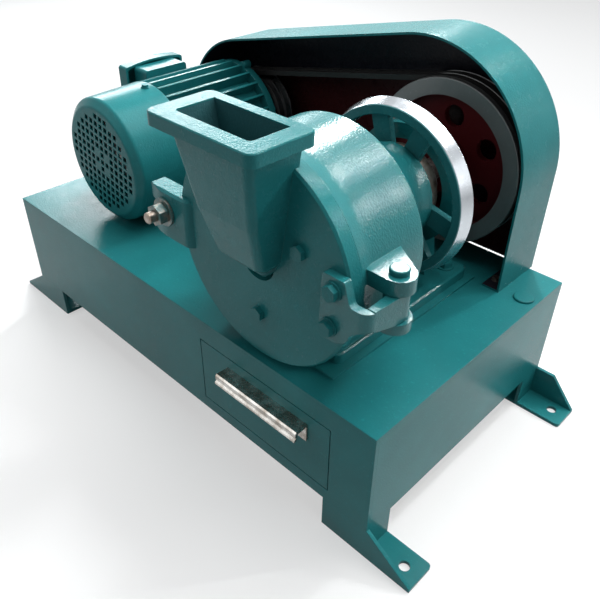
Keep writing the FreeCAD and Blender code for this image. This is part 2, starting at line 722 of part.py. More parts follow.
def make_mill_body():
    drum = rounded_turned_y(
        SPINDLE_X,
        SPINDLE_Z,
        [
            (DRUM_FRONT_Y, 0, 0),
            (DRUM_FRONT_Y, RIM_R - 0.5, 0.8),
            (DRUM_FRONT_Y + 3.0, RIM_R - 1.0, 10.0),
            (DRUM_FRONT_Y + RIM_TAPER, DRUM_R, 40.0),
            (DRUM_BACK_Y, DRUM_R, DRUM_CHAMFER),
            (DRUM_BACK_Y, 0, 0),
        ],
    )
    boss = turned_y(
        SPINDLE_X,
        SPINDLE_Z,
        [
            (DRUM_BACK_Y - 2, 0),
            (DRUM_BACK_Y - 2, BOSS_R + 10),
            (DRUM_BACK_Y + 8, BOSS_R + 2),
            (DRUM_BACK_Y + 14, BOSS_R),
            (BOSS_END_Y - 2, BOSS_R),
            (BOSS_END_Y, BOSS_R - 2),
            (BOSS_END_Y, 0),
        ],
    )
    bed = box(
        SPINDLE_X - BED_HALF, SPINDLE_X + BED_HALF, BED_FRONT_Y, BED_BACK_Y, PAD_TOP, BED_TOP
    )
    bed = bed.makeFillet(BED_CORNER_R, upright_edges(bed, BED_T))
    bed = bed.makeChamfer(BED_BEVEL, level_edges(bed, BED_TOP))
    pedestal = slab_y(
        [
            (SPINDLE_X - PEDESTAL_HALF - 8, PAD_TOP + 4),
            (SPINDLE_X + PEDESTAL_HALF + 8, PAD_TOP + 4),
            (SPINDLE_X + PEDESTAL_HALF - 4, SPINDLE_Z - 30),
            (SPINDLE_X - PEDESTAL_HALF + 4, SPINDLE_Z - 30),
        ],
        DRUM_BACK_Y - 4,
        BOSS_END_Y - 12,
    )
    cheek = slab_y(
        [
            (SPINDLE_X - BED_HALF + 6, PAD_TOP + 4),
            (SPINDLE_X + BED_HALF - 6, PAD_TOP + 4),
            (SPINDLE_X + BED_HALF + 4, SPINDLE_Z - CHEEK_UNDER),
            (SPINDLE_X - BED_HALF - 4, SPINDLE_Z - CHEEK_UNDER),
        ],
        BED_FRONT_Y,
        DRUM_BACK_Y - 6,
    )
    lugs = [
        hinge_lug(LUG_TOP_Z - LUG_T, LUG_TOP_Z),
        hinge_lug(LOW_LUG_Z - LOW_LUG_T, LOW_LUG_Z),
    ]
    ears = [latch_ear(z0, z1) for z0, z1 in latch_ear_levels()]
    steady = rod_y(SPINDLE_X, SPINDLE_Z, STEADY_R, STEADY_Y0, STEADY_Y1)
    post = slab_y(
        [
            (SPINDLE_X - STEADY_POST_HALF, PAD_TOP + 4),
            (SPINDLE_X + STEADY_POST_HALF, PAD_TOP + 4),
            (SPINDLE_X + STEADY_POST_HALF - 10, SPINDLE_Z - STEADY_BORE_R - 6),
            (SPINDLE_X - STEADY_POST_HALF + 10, SPINDLE_Z - STEADY_BORE_R - 6),
        ],
        STEADY_Y0,
        STEADY_Y1,
    )
    solid = fused([drum, boss, bed, pedestal, cheek, steady, post] + lugs + ears)
    cuts = [
        rod_y(SPINDLE_X, SPINDLE_Z, CHAMBER_R, DRUM_FRONT_Y - 1, CHAMBER_BACK_Y),
        rod_y(SPINDLE_X, SPINDLE_Z, QUILL_R, CHAMBER_BACK_Y - 1, BOSS_END_Y + 1),
        rod_y(SPINDLE_X, SPINDLE_Z, STEADY_BORE_R, STEADY_Y0 - 1, STEADY_Y1 + 1),
        discharge_hole(PAD_TOP - 1, SPINDLE_Z - 60),
        rod_z(HINGE_X, HINGE_Y, HINGE_PIN_R + FIT, LOW_LUG_Z - LOW_LUG_T - 1, LUG_TOP_Z + 1),
        along_radius(QUILL_R - 2, BOSS_R + 2, KEY_SCREW_R + FIT, KEY_SCREW_Y, KEY_SCREW_ANGLE),
    ]
    low = latch_ear_levels()[0][0]
    high = latch_ear_levels()[1][1]
    cuts.append(rod_z(LATCH_X, LATCH_PIVOT_Y, LATCH_PIN_R + FIT, low - 1, high + 1))
    for x, y in mill_bolt_places():
        cuts.append(rod_z(x, y, MILL_BOLT_R + 0.5, PAD_TOP - 1, BED_TOP + 1))
        cuts.append(rod_z(x, y, 2.4 * MILL_BOLT_R, BED_TOP, BED_TOP + 30))
    return solid.cut(Part.makeCompound(cuts))


def make_key_screw():
    shank = along_radius(QUILL_R - 3.4, BOSS_R + 1, KEY_SCREW_R, KEY_SCREW_Y, KEY_SCREW_ANGLE)
    head = along_radius(BOSS_R + 0.2, BOSS_R + 5, 1.6 * KEY_SCREW_R, KEY_SCREW_Y, KEY_SCREW_ANGLE)
    return shank.fuse(head)


# ---- door with its hopper ------------------------------------------------------------------
def hopper_section(z, half, front, back, corner):
    """The points of a level section at height z. Its two front corners are rounded in flats."""
    points = []
    for side, first in ((-1, 180.0), (1, 270.0)):
        for n in range(HOPPER_CORNER_FLATS + 1):
            a = math.radians(first + 90.0 * n / HOPPER_CORNER_FLATS)
            x = SPINDLE_X + side * (half - corner) + corner * math.cos(a)
            points.append(V(x, front + corner + corner * math.sin(a), z))
    return points + [V(SPINDLE_X + half, back, z), V(SPINDLE_X - half, back, z)]


def stacked(sections):
    """A solid through level sections that have as many points each."""
    faces = [face_of(sections[0]), face_of(sections[-1])]
    for high, low in zip(sections, sections[1:]):
        for n in range(len(high)):
            faces.append(face_of([high[n - 1], high[n], low[n], low[n - 1]]))
    shell = Part.makeShell(faces)
    shell.sewShape()
    return Part.makeSolid(shell)


def make_hopper_shell():
    """The hopper's outside: its collar, its two tapers, its toe and the flange on top."""
    back = DOOR_FRONT_Y + 9.0
    under = HOPPER_TOP_Z - HOPPER_FLANGE_T
    collar = HOPPER_COLLAR
    knee = 0.3 * collar
    tiers = [
        (under + SEAM, HOPPER_HALF_TOP + collar, HOPPER_FRONT_TOP + collar, HOPPER_CORNER_R + collar),
        (under - knee, HOPPER_HALF_TOP + knee, HOPPER_FRONT_TOP + knee, HOPPER_CORNER_R + knee),
        (under - collar, HOPPER_HALF_TOP, HOPPER_FRONT_TOP, HOPPER_CORNER_R),
        (HOPPER_MID_Z, HOPPER_HALF_MID, HOPPER_FRONT_MID, HOPPER_CORNER_R),
        (HOPPER_LOW_Z, HOPPER_HALF_LOW, HOPPER_FRONT_LOW, HOPPER_CORNER_R),
        (HOPPER_TIP_Z, HOPPER_HALF_LOW * 0.45, -1.0, HOPPER_CORNER_R * 0.45),
    ]
    cone = stacked([hopper_section(z, half, DOOR_FRONT_Y - out, back, r) for z, half, out, r in tiers])
    flange = box(
        SPINDLE_X - HOPPER_FLANGE_HALF,
        SPINDLE_X + HOPPER_FLANGE_HALF,
        HOPPER_FLANGE_Y0,
        HOPPER_FLANGE_Y1,
        under,
        HOPPER_TOP_Z,
    )
    flange = flange.makeFillet(FLANGE_CORNER_R, upright_edges(flange, HOPPER_FLANGE_T))
    flange = flange.makeChamfer(FLANGE_BEVEL, level_edges(flange, HOPPER_TOP_Z))
    return [cone, flange]


def make_hopper_hollow():
    """The funnel's inside, its sloping floor and the feed port through the door."""
    corner = HOPPER_CORNER_R - HOPPER_WALL / 2
    back = DOOR_FRONT_Y - 2.0
    mouth = hopper_section(HOPPER_TOP_Z + 1, MOUTH_HALF, MOUTH_Y0, MOUTH_Y1, corner)
    mid_front = DOOR_FRONT_Y - HOPPER_FRONT_MID + HOPPER_WALL
    low_front = DOOR_FRONT_Y - HOPPER_FRONT_LOW + HOPPER_WALL
    mid = hopper_section(HOPPER_MID_Z, HOPPER_HALF_MID - HOPPER_WALL, mid_front, back, corner)
    low = hopper_section(HOPPER_LOW_Z, HOPPER_HALF_LOW - HOPPER_WALL, low_front, back, corner)
    funnel = stacked([mouth, mid, low])
    port = rod_y(SPINDLE_X, SPINDLE_Z, FEED_R, DOOR_FRONT_Y - 10.0, DOOR_BACK_Y + 1)
    throat = slab_x(
        [
            (low_front, HOPPER_LOW_Z + 0.5),
            (DOOR_FRONT_Y - 2.0, HOPPER_LOW_Z + 14.0),
            (DOOR_BACK_Y + 1, SPINDLE_Z + FEED_R - 8.0),
            (DOOR_BACK_Y + 1, SPINDLE_Z - FEED_R + 12.0),
            (DOOR_FRONT_Y - 6.0, SPINDLE_Z - FEED_R + 16.0),
        ],
        SPINDLE_X - FEED_R + 6.0,
        SPINDLE_X + FEED_R - 6.0,
    )
    return [funnel, port, throat]


def make_catch():
    """The slotted lug of the door. Its seat curves round the latch pivot left of the bolt."""
    z0 = LATCH_Z - CATCH_DOWN
    z1 = LATCH_Z + CATCH_UP
    seat_r = LATCH_PIVOT_Y - CATCH_FRONT_Y
    outline = [
        (CATCH_X0, CATCH_FRONT_Y, 0),
        (CATCH_X1, CATCH_FRONT_Y, CATCH_CORNER_R),
        (CATCH_X1, CATCH_BACK_Y, 0),
        (CATCH_X0, CATCH_BACK_Y, 0),
    ]
    block = rounded_slab_z(outline, z0, z1)
    block = block.makeChamfer(CATCH_BEVEL, front_edges(level_edges(block, z1), CATCH_BACK_Y))
    left = box(CATCH_X0 - 1, LATCH_X, CATCH_FRONT_Y - 1, CATCH_BACK_Y - 6.0, z0 - 1, z1 + 1)
    outside_seat = left.cut(rod_z(LATCH_X, LATCH_PIVOT_Y, seat_r, z0 - 2, z1 + 2))
    slot_r = LATCH_R + 1.2
    slot = box(CATCH_X0 - 1, LATCH_X, CATCH_FRONT_Y - 1, CATCH_BACK_Y + 1, LATCH_Z - slot_r, LATCH_Z + slot_r)
    slot_end = rod_y(LATCH_X, LATCH_Z, slot_r, CATCH_FRONT_Y - 1, CATCH_BACK_Y + 1)
    return block.cut(Part.makeCompound([outside_seat, slot.fuse(slot_end)]))


def front_edges(edges, back):
    """Those of the edges that don't lie along y = back."""
    return [e for e in edges if e.BoundBox.YMin < back - 1e-4]


def disc_bolt_places():
    return [on_ring(SPINDLE_X, SPINDLE_Z, DISC_BOLT_RING, a) for a in (30.0, 150.0, 270.0)]


def make_door():
    plate = turned_y(
        SPINDLE_X,
        SPINDLE_Z,
        [
            (DOOR_FRONT_Y, 0),
            (DOOR_FRONT_Y, RIM_R - 2.5),
            (DOOR_FRONT_Y + 2.5, RIM_R),
            (DOOR_BACK_Y, RIM_R),
            (DOOR_BACK_Y, 0),
        ],
    )
    door = fused([plate, make_catch()] + make_hopper_shell())
    cuts = make_hopper_hollow()
    for x, z in disc_bolt_places():
        cuts.append(rod_y(x, z, DISC_BOLT_R + FIT, DOOR_FRONT_Y - 20, DOOR_BACK_Y + 1))
    for x, z in ARM_BOLTS:
        cuts.append(rod_y(x, z, DISC_BOLT_R + FIT, DOOR_FRONT_Y - 1, DOOR_BACK_Y + 1))
    for cut in cuts:
        door = door.cut(cut)
    return door


# ---- grinding discs ------------------------------------------------------------------------
def ribbed_disc(y_back, y_face):
    """A toothed disc. Radial grooves leave the ribs on the face at y_face."""
    disc = ring_y(SPINDLE_X, SPINDLE_Z, DISC_R, DISC_HOLE_R, min(y_back, y_face), max(y_back, y_face))
    step = 1 if y_face > y_back else -1
    ys = sorted((y_face + step, y_face - step * RIB_DEPTH))
    grooves = []
    for angle in around(SPINDLE_X, SPINDLE_Z, DISC_RIBS, 15.0):
        groove = box(
            SPINDLE_X + DISC_HOLE_R - 5,
            SPINDLE_X + DISC_R + 5,
            ys[0],
            ys[1],
            SPINDLE_Z - RIB_WIDTH / 2,
            SPINDLE_Z + RIB_WIDTH / 2,
        )
        grooves.append(turned_copy(groove, SPINDLE_X, SPINDLE_Z, angle))
    return disc.cut(Part.makeCompound(grooves))


def make_fixed_disc():
    disc = ribbed_disc(DOOR_BACK_Y, FIXED_FACE_Y)
    holes = [
        rod_y(x, z, DISC_BOLT_R + FIT, DOOR_BACK_Y - 1, FIXED_FACE_Y - RIB_DEPTH - 2)
        for x, z in disc_bolt_places()
    ]
    return disc.cut(Part.makeCompound(holes))


def face_bolt(x, z, seat_y, tip_y, washer):
    """A hex bolt from the front, its head on seat_y."""
    base = seat_y
    parts = []
    if washer:
        parts.append(rod_y(x, z, 2.2 * DISC_BOLT_R, seat_y - 2.0, seat_y))
        base = seat_y - 2.0
    parts.append(hexagon_y(x, z, 3.2 * DISC_BOLT_R, base - 1.3 * DISC_BOLT_R, base))
    parts.append(rod_y(x, z, DISC_BOLT_R, base - 1, tip_y))
    return fused(parts)


def make_rotating_disc():
    return ribbed_disc(ROTOR_BACK_Y, ROTOR_FACE_Y)


def make_rotor_head():
    hub_back = QUILL_FRONT_Y - CAP_T - 2.0
    head = turned_y(
        SPINDLE_X,
        SPINDLE_Z,
        [
            (ROTOR_BACK_Y, 0),
            (ROTOR_BACK_Y, HEAD_R),
            (HEAD_BACK_Y, HEAD_R),
            (HEAD_BACK_Y, 32.0),
            (hub_back, 28.0),
            (hub_back, 0),
        ],
    )
    pilot_y = ROTOR_FACE_Y + PILOT_INSET
    pilot = rod_y(SPINDLE_X, SPINDLE_Z, DISC_HOLE_R - FIT, pilot_y, ROTOR_BACK_Y + 1)
    bore = rod_y(SPINDLE_X, SPINDLE_Z, SPINDLE_SEAT_R, ROTOR_BACK_Y, hub_back + 1)
    nose = rod_y(SPINDLE_X, SPINDLE_Z, NOSE_R + FIT, ROTOR_FACE_Y, ROTOR_BACK_Y + 1)
    return head.fuse(pilot).cut(Part.makeCompound([bore, nose]))


def make_rotor_nut():
    """A closed nut on the spindle's nose, in the hole of the discs."""
    back = ROTOR_FACE_Y + PILOT_INSET
    nut = hexagon_y(SPINDLE_X, SPINDLE_Z, ROTOR_NUT_AF, SPINDLE_FRONT_Y - NUT_CROWN, back)
    return nut.cut(rod_y(SPINDLE_X, SPINDLE_Z, NOSE_R, SPINDLE_FRONT_Y, back + 1))


# ---- spindle and quill ---------------------------------------------------------------------
def key_slot(x, z, shaft_r, y0, y1):
    half = KEY_W / 2
    return box(x - half, x + half, y0, y1, z + shaft_r - KEY_H / 2 - 0.5, z + shaft_r + KEY_H / 2)


def make_spindle():
    seat_end = QUILL_FRONT_Y + BEARING_W
    shaft = turned_y(
        SPINDLE_X,
        SPINDLE_Z,
        [
            (SPINDLE_FRONT_Y, 0),
            (SPINDLE_FRONT_Y, NOSE_R),
            (ROTOR_BACK_Y, NOSE_R),
            (ROTOR_BACK_Y, SPINDLE_SEAT_R),
            (seat_end, SPINDLE_SEAT_R),
            (seat_end, SPINDLE_R),
            (BEARING_REAR_Y, SPINDLE_R),
            (BEARING_REAR_Y, SPINDLE_SEAT_R),
            (QUILL_END_Y + CAP_T + 4, SPINDLE_SEAT_R),
            (QUILL_END_Y + CAP_T + 4, PULLEY_SEAT_R),
            (SPINDLE_END_Y - 1.5, PULLEY_SEAT_R),
            (SPINDLE_END_Y, PULLEY_SEAT_R - 1.5),
            (SPINDLE_END_Y, 0),
        ],
    )
    slot = key_slot(SPINDLE_X, SPINDLE_Z, PULLEY_SEAT_R, BIG_HUB_Y - 4, SPINDLE_END_Y + 1)
    return shaft.cut(slot)


def make_pulley_key():
    """A feather key on which the pulley hub slides as the spindle is moved along."""
    half = KEY_W / 2
    low = SPINDLE_Z + PULLEY_SEAT_R - KEY_H / 2 - 0.5
    return box(SPINDLE_X - half, SPINDLE_X + half, BIG_HUB_Y - 4, SPINDLE_END_Y - 2, low, low + KEY_H)


def make_bearings():
    """Inner rings, outer rings and balls of the two spindle bearings."""
    inner, outer, balls = [], [], []
    ball_r = (BEARING_R - SPINDLE_SEAT_R - 2 * BEARING_RACE) / 2 + 2.0
    ball_ring = (BEARING_R + SPINDLE_SEAT_R) / 2
    for y0 in (BEARING_FRONT_Y, BEARING_REAR_Y):
        y1 = y0 + BEARING_W
        mid = (y0 + y1) / 2
        track = Part.makeTorus(ball_ring, ball_r + FIT, V(SPINDLE_X, mid, SPINDLE_Z), BACK)
        outer_ring = ring_y(SPINDLE_X, SPINDLE_Z, BEARING_R, BEARING_R - BEARING_RACE, y0, y1)
        inner_ring = ring_y(
            SPINDLE_X, SPINDLE_Z, SPINDLE_SEAT_R + BEARING_RACE, SPINDLE_SEAT_R, y0, y1
        )
        outer.append(outer_ring.cut(track))
        inner.append(inner_ring.cut(track))
        for angle in around(SPINDLE_X, SPINDLE_Z, BEARING_BALLS):
            x, z = on_ring(SPINDLE_X, SPINDLE_Z, ball_ring, angle)
            balls.append(Part.makeSphere(ball_r, V(x, mid, z)))
    return inner, outer, balls


def make_quill():
    """The sliding sleeve that carries the spindle. Its rear end is threaded for the nut."""
    body = turned_y(
        SPINDLE_X,
        SPINDLE_Z,
        [
            (QUILL_FRONT_Y, 0),
            (QUILL_FRONT_Y, QUILL_R - FIT),
            (BOSS_END_Y - 6, QUILL_R - FIT),
            (BOSS_END_Y - 6, THREAD_R),
            (QUILL_END_Y, THREAD_R),
            (QUILL_END_Y, 0),
        ],
    )
    cuts = [
        rod_y(SPINDLE_X, SPINDLE_Z, BEARING_R, QUILL_FRONT_Y - 1, QUILL_FRONT_Y + BEARING_W),
        rod_y(SPINDLE_X, SPINDLE_Z, QUILL_CORE_R, QUILL_FRONT_Y, QUILL_END_Y),
        rod_y(SPINDLE_X, SPINDLE_Z, BEARING_R, BEARING_REAR_Y, QUILL_END_Y + 1),
    ]
    slot = box(
        SPINDLE_X + QUILL_R - 4.0,
        SPINDLE_X + QUILL_R + 4.0,
        KEY_SCREW_Y - KEY_SCREW_R - QUILL_TRAVEL - 2.0,
        KEY_SCREW_Y + KEY_SCREW_R + 2.0,
        SPINDLE_Z - KEY_SCREW_R - 0.4,
        SPINDLE_Z + KEY_SCREW_R + 0.4,
    )
    cuts.append(turned_copy(slot, SPINDLE_X, SPINDLE_Z, KEY_SCREW_ANGLE))
    return body.cut(Part.makeCompound(cuts))


def make_quill_caps():
    front = ring_y(
        SPINDLE_X, SPINDLE_Z, CAP_R, SPINDLE_SEAT_R + 0.8, QUILL_FRONT_Y - CAP_T, QUILL_FRONT_Y
    )
    rear = ring_y(
        SPINDLE_X, SPINDLE_Z, CAP_R, SPINDLE_SEAT_R + 0.8, QUILL_END_Y, QUILL_END_Y + CAP_T
    )
    return front, rear


# ---- adjusting nut and hand wheel ----------------------------------------------------------
def make_retainer():
    """The ring on the end of the boss that holds the adjusting nut by its flange."""
    lip_y = BOSS_END_Y + RETAINER_T / 2
    ring = ring_y(
        SPINDLE_X, SPINDLE_Z, RETAINER_R, NUT_NECK_R + SEAM, BOSS_END_Y, BOSS_END_Y + RETAINER_T
    )
    return ring.cut(rod_y(SPINDLE_X, SPINDLE_Z, NUT_FLANGE_R + SEAM, BOSS_END_Y - 1, lip_y))


def make_adjusting_nut():
    lip_y = BOSS_END_Y + RETAINER_T / 2
    end = BOSS_END_Y + RETAINER_T
    profile = [
        (BOSS_END_Y + SEAM, 0),
        (BOSS_END_Y + SEAM, NUT_FLANGE_R),
        (lip_y - SEAM, NUT_FLANGE_R),
        (lip_y - SEAM, NUT_NECK_R),
        (end + SEAM, NUT_NECK_R),
        (end + SEAM, NUT_R),
        (NUT_END_Y - 8, NUT_R),
        (NUT_END_Y - 6, NUT_R - 2),
        (NUT_END_Y, NUT_R - 2),
        (NUT_END_Y, 0),
    ]
    nut = turned_y(SPINDLE_X, SPINDLE_Z, profile)
    return nut.cut(rod_y(SPINDLE_X, SPINDLE_Z, THREAD_R + FIT, BOSS_END_Y - 1, NUT_END_Y + 1))


def make_hand_wheel():
    back = WHEEL_FRONT_Y + WHEEL_W
    rim = turned_y(
        SPINDLE_X,
        SPINDLE_Z,
        [
            (WHEEL_FRONT_Y, WHEEL_BORE_R + 1),
            (WHEEL_FRONT_Y, WHEEL_FACE_R - 1),
            (WHEEL_FRONT_Y + 2.5, WHEEL_FACE_R + 0.5),
            (WHEEL_FRONT_Y + WHEEL_BEVEL_Y, WHEEL_R),
            (back, WHEEL_R - 2.5),
            (back, WHEEL_BORE_R + 1),
            (back - 1, WHEEL_BORE_R),
            (WHEEL_FRONT_Y + 1, WHEEL_BORE_R),
        ],
    )
    spokes = []
    pairs = around(SPINDLE_X, SPINDLE_Z, SPOKE_PAIRS, SPOKE_PAIR_START)
    for angle in [middle + side * SPOKE_SPREAD for middle in pairs for side in (-1, 1)]:
        spoke = box(
            SPINDLE_X + NUT_R - 6.0,
            SPINDLE_X + WHEEL_BORE_R + 4.0,
            SPOKE_Y,
            SPOKE_Y + SPOKE_T,
            SPINDLE_Z - SPOKE_W / 2,
            SPINDLE_Z + SPOKE_W / 2,
        )
        spokes.append(turned_copy(spoke, SPINDLE_X, SPINDLE_Z, angle))
    wheel = fused([rim] + spokes)
    return wheel.cut(rod_y(SPINDLE_X, SPINDLE_Z, NUT_R, WHEEL_FRONT_Y - 1, back + 10))


# ---- belt drive ----------------------------------------------------------------------------
def belt_half_width(depth, gap):
    """Half of the belt's or groove's width at a depth under its top, with gap on each flank."""
    slope = (BELT_TOP_W - BELT_BOTTOM_W) / 2 / BELT_H
    return BELT_TOP_W / 2 - slope * depth + gap / math.cos(math.atan(slope))


def groove(x, z, rim_r, belt_r, y):
    """The ring that a V groove takes out of a pulley."""
    floor = BELT_H + BELT_GAP
    over = belt_r - rim_r - 1.0
    points = [
        (y - belt_half_width(over, BELT_GAP), rim_r + 1.0),
        (y + belt_half_width(over, BELT_GAP), rim_r + 1.0),
        (y + belt_half_width(floor, BELT_GAP), belt_r - floor),
        (y - belt_half_width(floor, BELT_GAP), belt_r - floor),
    ]
    return turned_y(x, z, points)


def make_big_pulley():
    y0 = BIG_PULLEY_Y
    y1 = y0 + BIG_PULLEY_W
    rim = turned_y(
        SPINDLE_X,
        SPINDLE_Z,
        [
            (y0, BIG_RIM_INNER_R),
            (y0, BIG_PULLEY_R - 1),
            (y0 + 1, BIG_PULLEY_R),
            (y1 - 1, BIG_PULLEY_R),
            (y1, BIG_PULLEY_R - 1),
            (y1, BIG_RIM_INNER_R),
        ],
    )
    web = ring_y(
        SPINDLE_X, SPINDLE_Z, BIG_RIM_INNER_R + 2, BIG_HUB_R - 2, BIG_WEB_Y, BIG_WEB_Y + BIG_WEB_T
    )
    hub = rod_y(SPINDLE_X, SPINDLE_Z, BIG_HUB_R, BIG_HUB_Y, y1)
    pulley = fused([rim, web, hub])
    cuts = [groove(SPINDLE_X, SPINDLE_Z, BIG_PULLEY_R, BELT_BIG_R, y) for y in BELT_YS]
    for angle in around(SPINDLE_X, SPINDLE_Z, WEB_HOLES, 30.0):
        x, z = on_ring(SPINDLE_X, SPINDLE_Z, WEB_HOLE_RING, angle)
        cuts.append(rod_y(x, z, WEB_HOLE_R, BIG_WEB_Y - 1, BIG_WEB_Y + BIG_WEB_T + 1))
    bore = rod_y(SPINDLE_X, SPINDLE_Z, PULLEY_SEAT_R + FIT, BIG_HUB_Y - 1, y1 + 1)
    half = KEY_W / 2 + FIT
    top = SPINDLE_Z + PULLEY_SEAT_R + KEY_H / 2 + 0.3
    keyway = box(SPINDLE_X - half, SPINDLE_X + half, BIG_HUB_Y - 1, y1 + 1, SPINDLE_Z, top)
    return pulley.cut(Part.makeCompound(cuts + [bore.fuse(keyway)]))


def make_small_pulley():
    y0 = SMALL_PULLEY_Y
    y1 = y0 + SMALL_PULLEY_W
    pulley = rod_y(MOTOR_X, MOTOR_Z, SMALL_PULLEY_R, y0, y1)
    cuts = [groove(MOTOR_X, MOTOR_Z, SMALL_PULLEY_R, BELT_SMALL_R, y) for y in BELT_YS]
    cuts.append(rod_y(MOTOR_X, MOTOR_Z, MOTOR_SHAFT_R, y0 - 1, y1 + 1))
    return pulley.cut(Part.makeCompound(cuts))


def belt_section(x, z, r, a, y):
    """The belt's section, its top at radius r in the direction a from the pulley's axis."""
    out = V(math.cos(a), 0, math.sin(a))
    top = V(x, y, z) + out * r
    low = top - out * BELT_H
    half_top = V(0, BELT_TOP_W / 2, 0)
    half_low = V(0, BELT_BOTTOM_W / 2, 0)
    return face_of([top - half_top, top + half_top, low + half_low, low - half_low])


def make_belt(y):
    """A V belt: two straight runs and the wrap round each pulley."""
    dx = SPINDLE_X - MOTOR_X
    dz = SPINDLE_Z - MOTOR_Z
    reach = math.hypot(dx, dz)
    heading = math.atan2(dz, dx)
    lean = math.asin((BELT_BIG_R - BELT_SMALL_R) / reach)
    run_length = math.sqrt(reach ** 2 - (BELT_BIG_R - BELT_SMALL_R) ** 2)
    parts = []
    for side in (1, -1):
        a = heading + side * (math.pi / 2 + lean)
        along = V(math.cos(heading + side * lean), 0, math.sin(heading + side * lean))
        section = belt_section(MOTOR_X, MOTOR_Z, BELT_SMALL_R, a, y)
        parts.append(section.extrude(along * run_length))
    over = belt_section(SPINDLE_X, SPINDLE_Z, BELT_BIG_R, heading + math.pi / 2 + lean, y)
    parts.append(over.revolve(V(SPINDLE_X, 0, SPINDLE_Z), BACK, 180 + 2 * math.degrees(lean)))
    under = belt_section(MOTOR_X, MOTOR_Z, BELT_SMALL_R, heading - math.pi / 2 - lean, y)
    parts.append(under.revolve(V(MOTOR_X, 0, MOTOR_Z), BACK, 180 - 2 * math.degrees(lean)))
    return fused(parts)


# ---- guard ---------------------------------------------------------------------------------
def guard_wire(inset, y, bottom):
    """The guard's outline: both ends upright, two arcs, and the slanting top between them."""
    right_r = GUARD_RIGHT_R - inset
    left_r = GUARD_LEFT_R - inset
    dx = GUARD_RIGHT_X - GUARD_LEFT_X
    dz = GUARD_RIGHT_Z - GUARD_LEFT_Z
    heading = math.atan2(dz, dx)
    lean = math.asin((right_r - left_r) / math.hypot(dx, dz))
    top = heading + math.pi / 2 + lean

    def at(x, z, r, a):
        return V(x + r * math.cos(a), y, z + r * math.sin(a))

    right_foot = V(GUARD_RIGHT_X + right_r, y, bottom)
    right_side = at(GUARD_RIGHT_X, GUARD_RIGHT_Z, right_r, 0)
    right_mid = at(GUARD_RIGHT_X, GUARD_RIGHT_Z, right_r, top / 2)
    right_top = at(GUARD_RIGHT_X, GUARD_RIGHT_Z, right_r, top)
    left_top = at(GUARD_LEFT_X, GUARD_LEFT_Z, left_r, top)
    left_mid = at(GUARD_LEFT_X, GUARD_LEFT_Z, left_r, (top + math.pi) / 2)
    left_side = at(GUARD_LEFT_X, GUARD_LEFT_Z, left_r, math.pi)
    left_foot = V(GUARD_LEFT_X - left_r, y, bottom)
    edges = [
        Part.LineSegment(right_foot, right_side).toShape(),
        Part.Arc(right_side, right_mid, right_top).toShape(),
        Part.LineSegment(right_top, left_top).toShape(),
        Part.Arc(left_top, left_mid, left_side).toShape(),
        Part.LineSegment(left_side, left_foot).toShape(),
        Part.LineSegment(left_foot, right_foot).toShape(),
    ]
    return Part.Wire(edges)


def guard_prism(inset, y0, y1, bottom):
    return Part.Face(guard_wire(inset, y0, bottom)).extrude(V(0, y1 - y0, 0))


def guard_ends():
    return GUARD_LEFT_X - GUARD_LEFT_R, GUARD_RIGHT_X + GUARD_RIGHT_R


def guard_bolt_places():
    left, right = guard_ends()
    ys = (GUARD_FRONT_Y + 22.0, GUARD_BACK_Y - 24.0)
    return [(x, y) for x in (left + GUARD_TAB / 2 + 4, right - GUARD_TAB / 2 - 4) for y in ys]


def make_guard_wrap():
    inner_y = GUARD_BACK_Y - GUARD_T
    wrap = guard_prism(0, GUARD_FRONT_Y, inner_y, BASE_TOP)
    wrap = wrap.cut(guard_prism(GUARD_T, GUARD_FRONT_Y - 1, inner_y + 1, BASE_TOP - 1))
    left, right = guard_ends()
    tabs = [
        box(left, left + GUARD_TAB, GUARD_FRONT_Y, inner_y, BASE_TOP, BASE_TOP + GUARD_T),
        box(right - GUARD_TAB, right, GUARD_FRONT_Y, inner_y, BASE_TOP, BASE_TOP + GUARD_T),
    ]
    return fused([wrap] + tabs)


def make_guard_back():
    return guard_prism(0, GUARD_BACK_Y - GUARD_T, GUARD_BACK_Y, BASE_TOP)


def make_guard_bolts():
    seat = BASE_TOP + GUARD_T
    bolts = []
    for x, y in guard_bolt_places():
        bolts.append(hexagon_z(x, y, 10.0, seat, seat + 4.5).fuse(rod_z(x, y, 6.5, seat, seat + 1.2)))
    return bolts


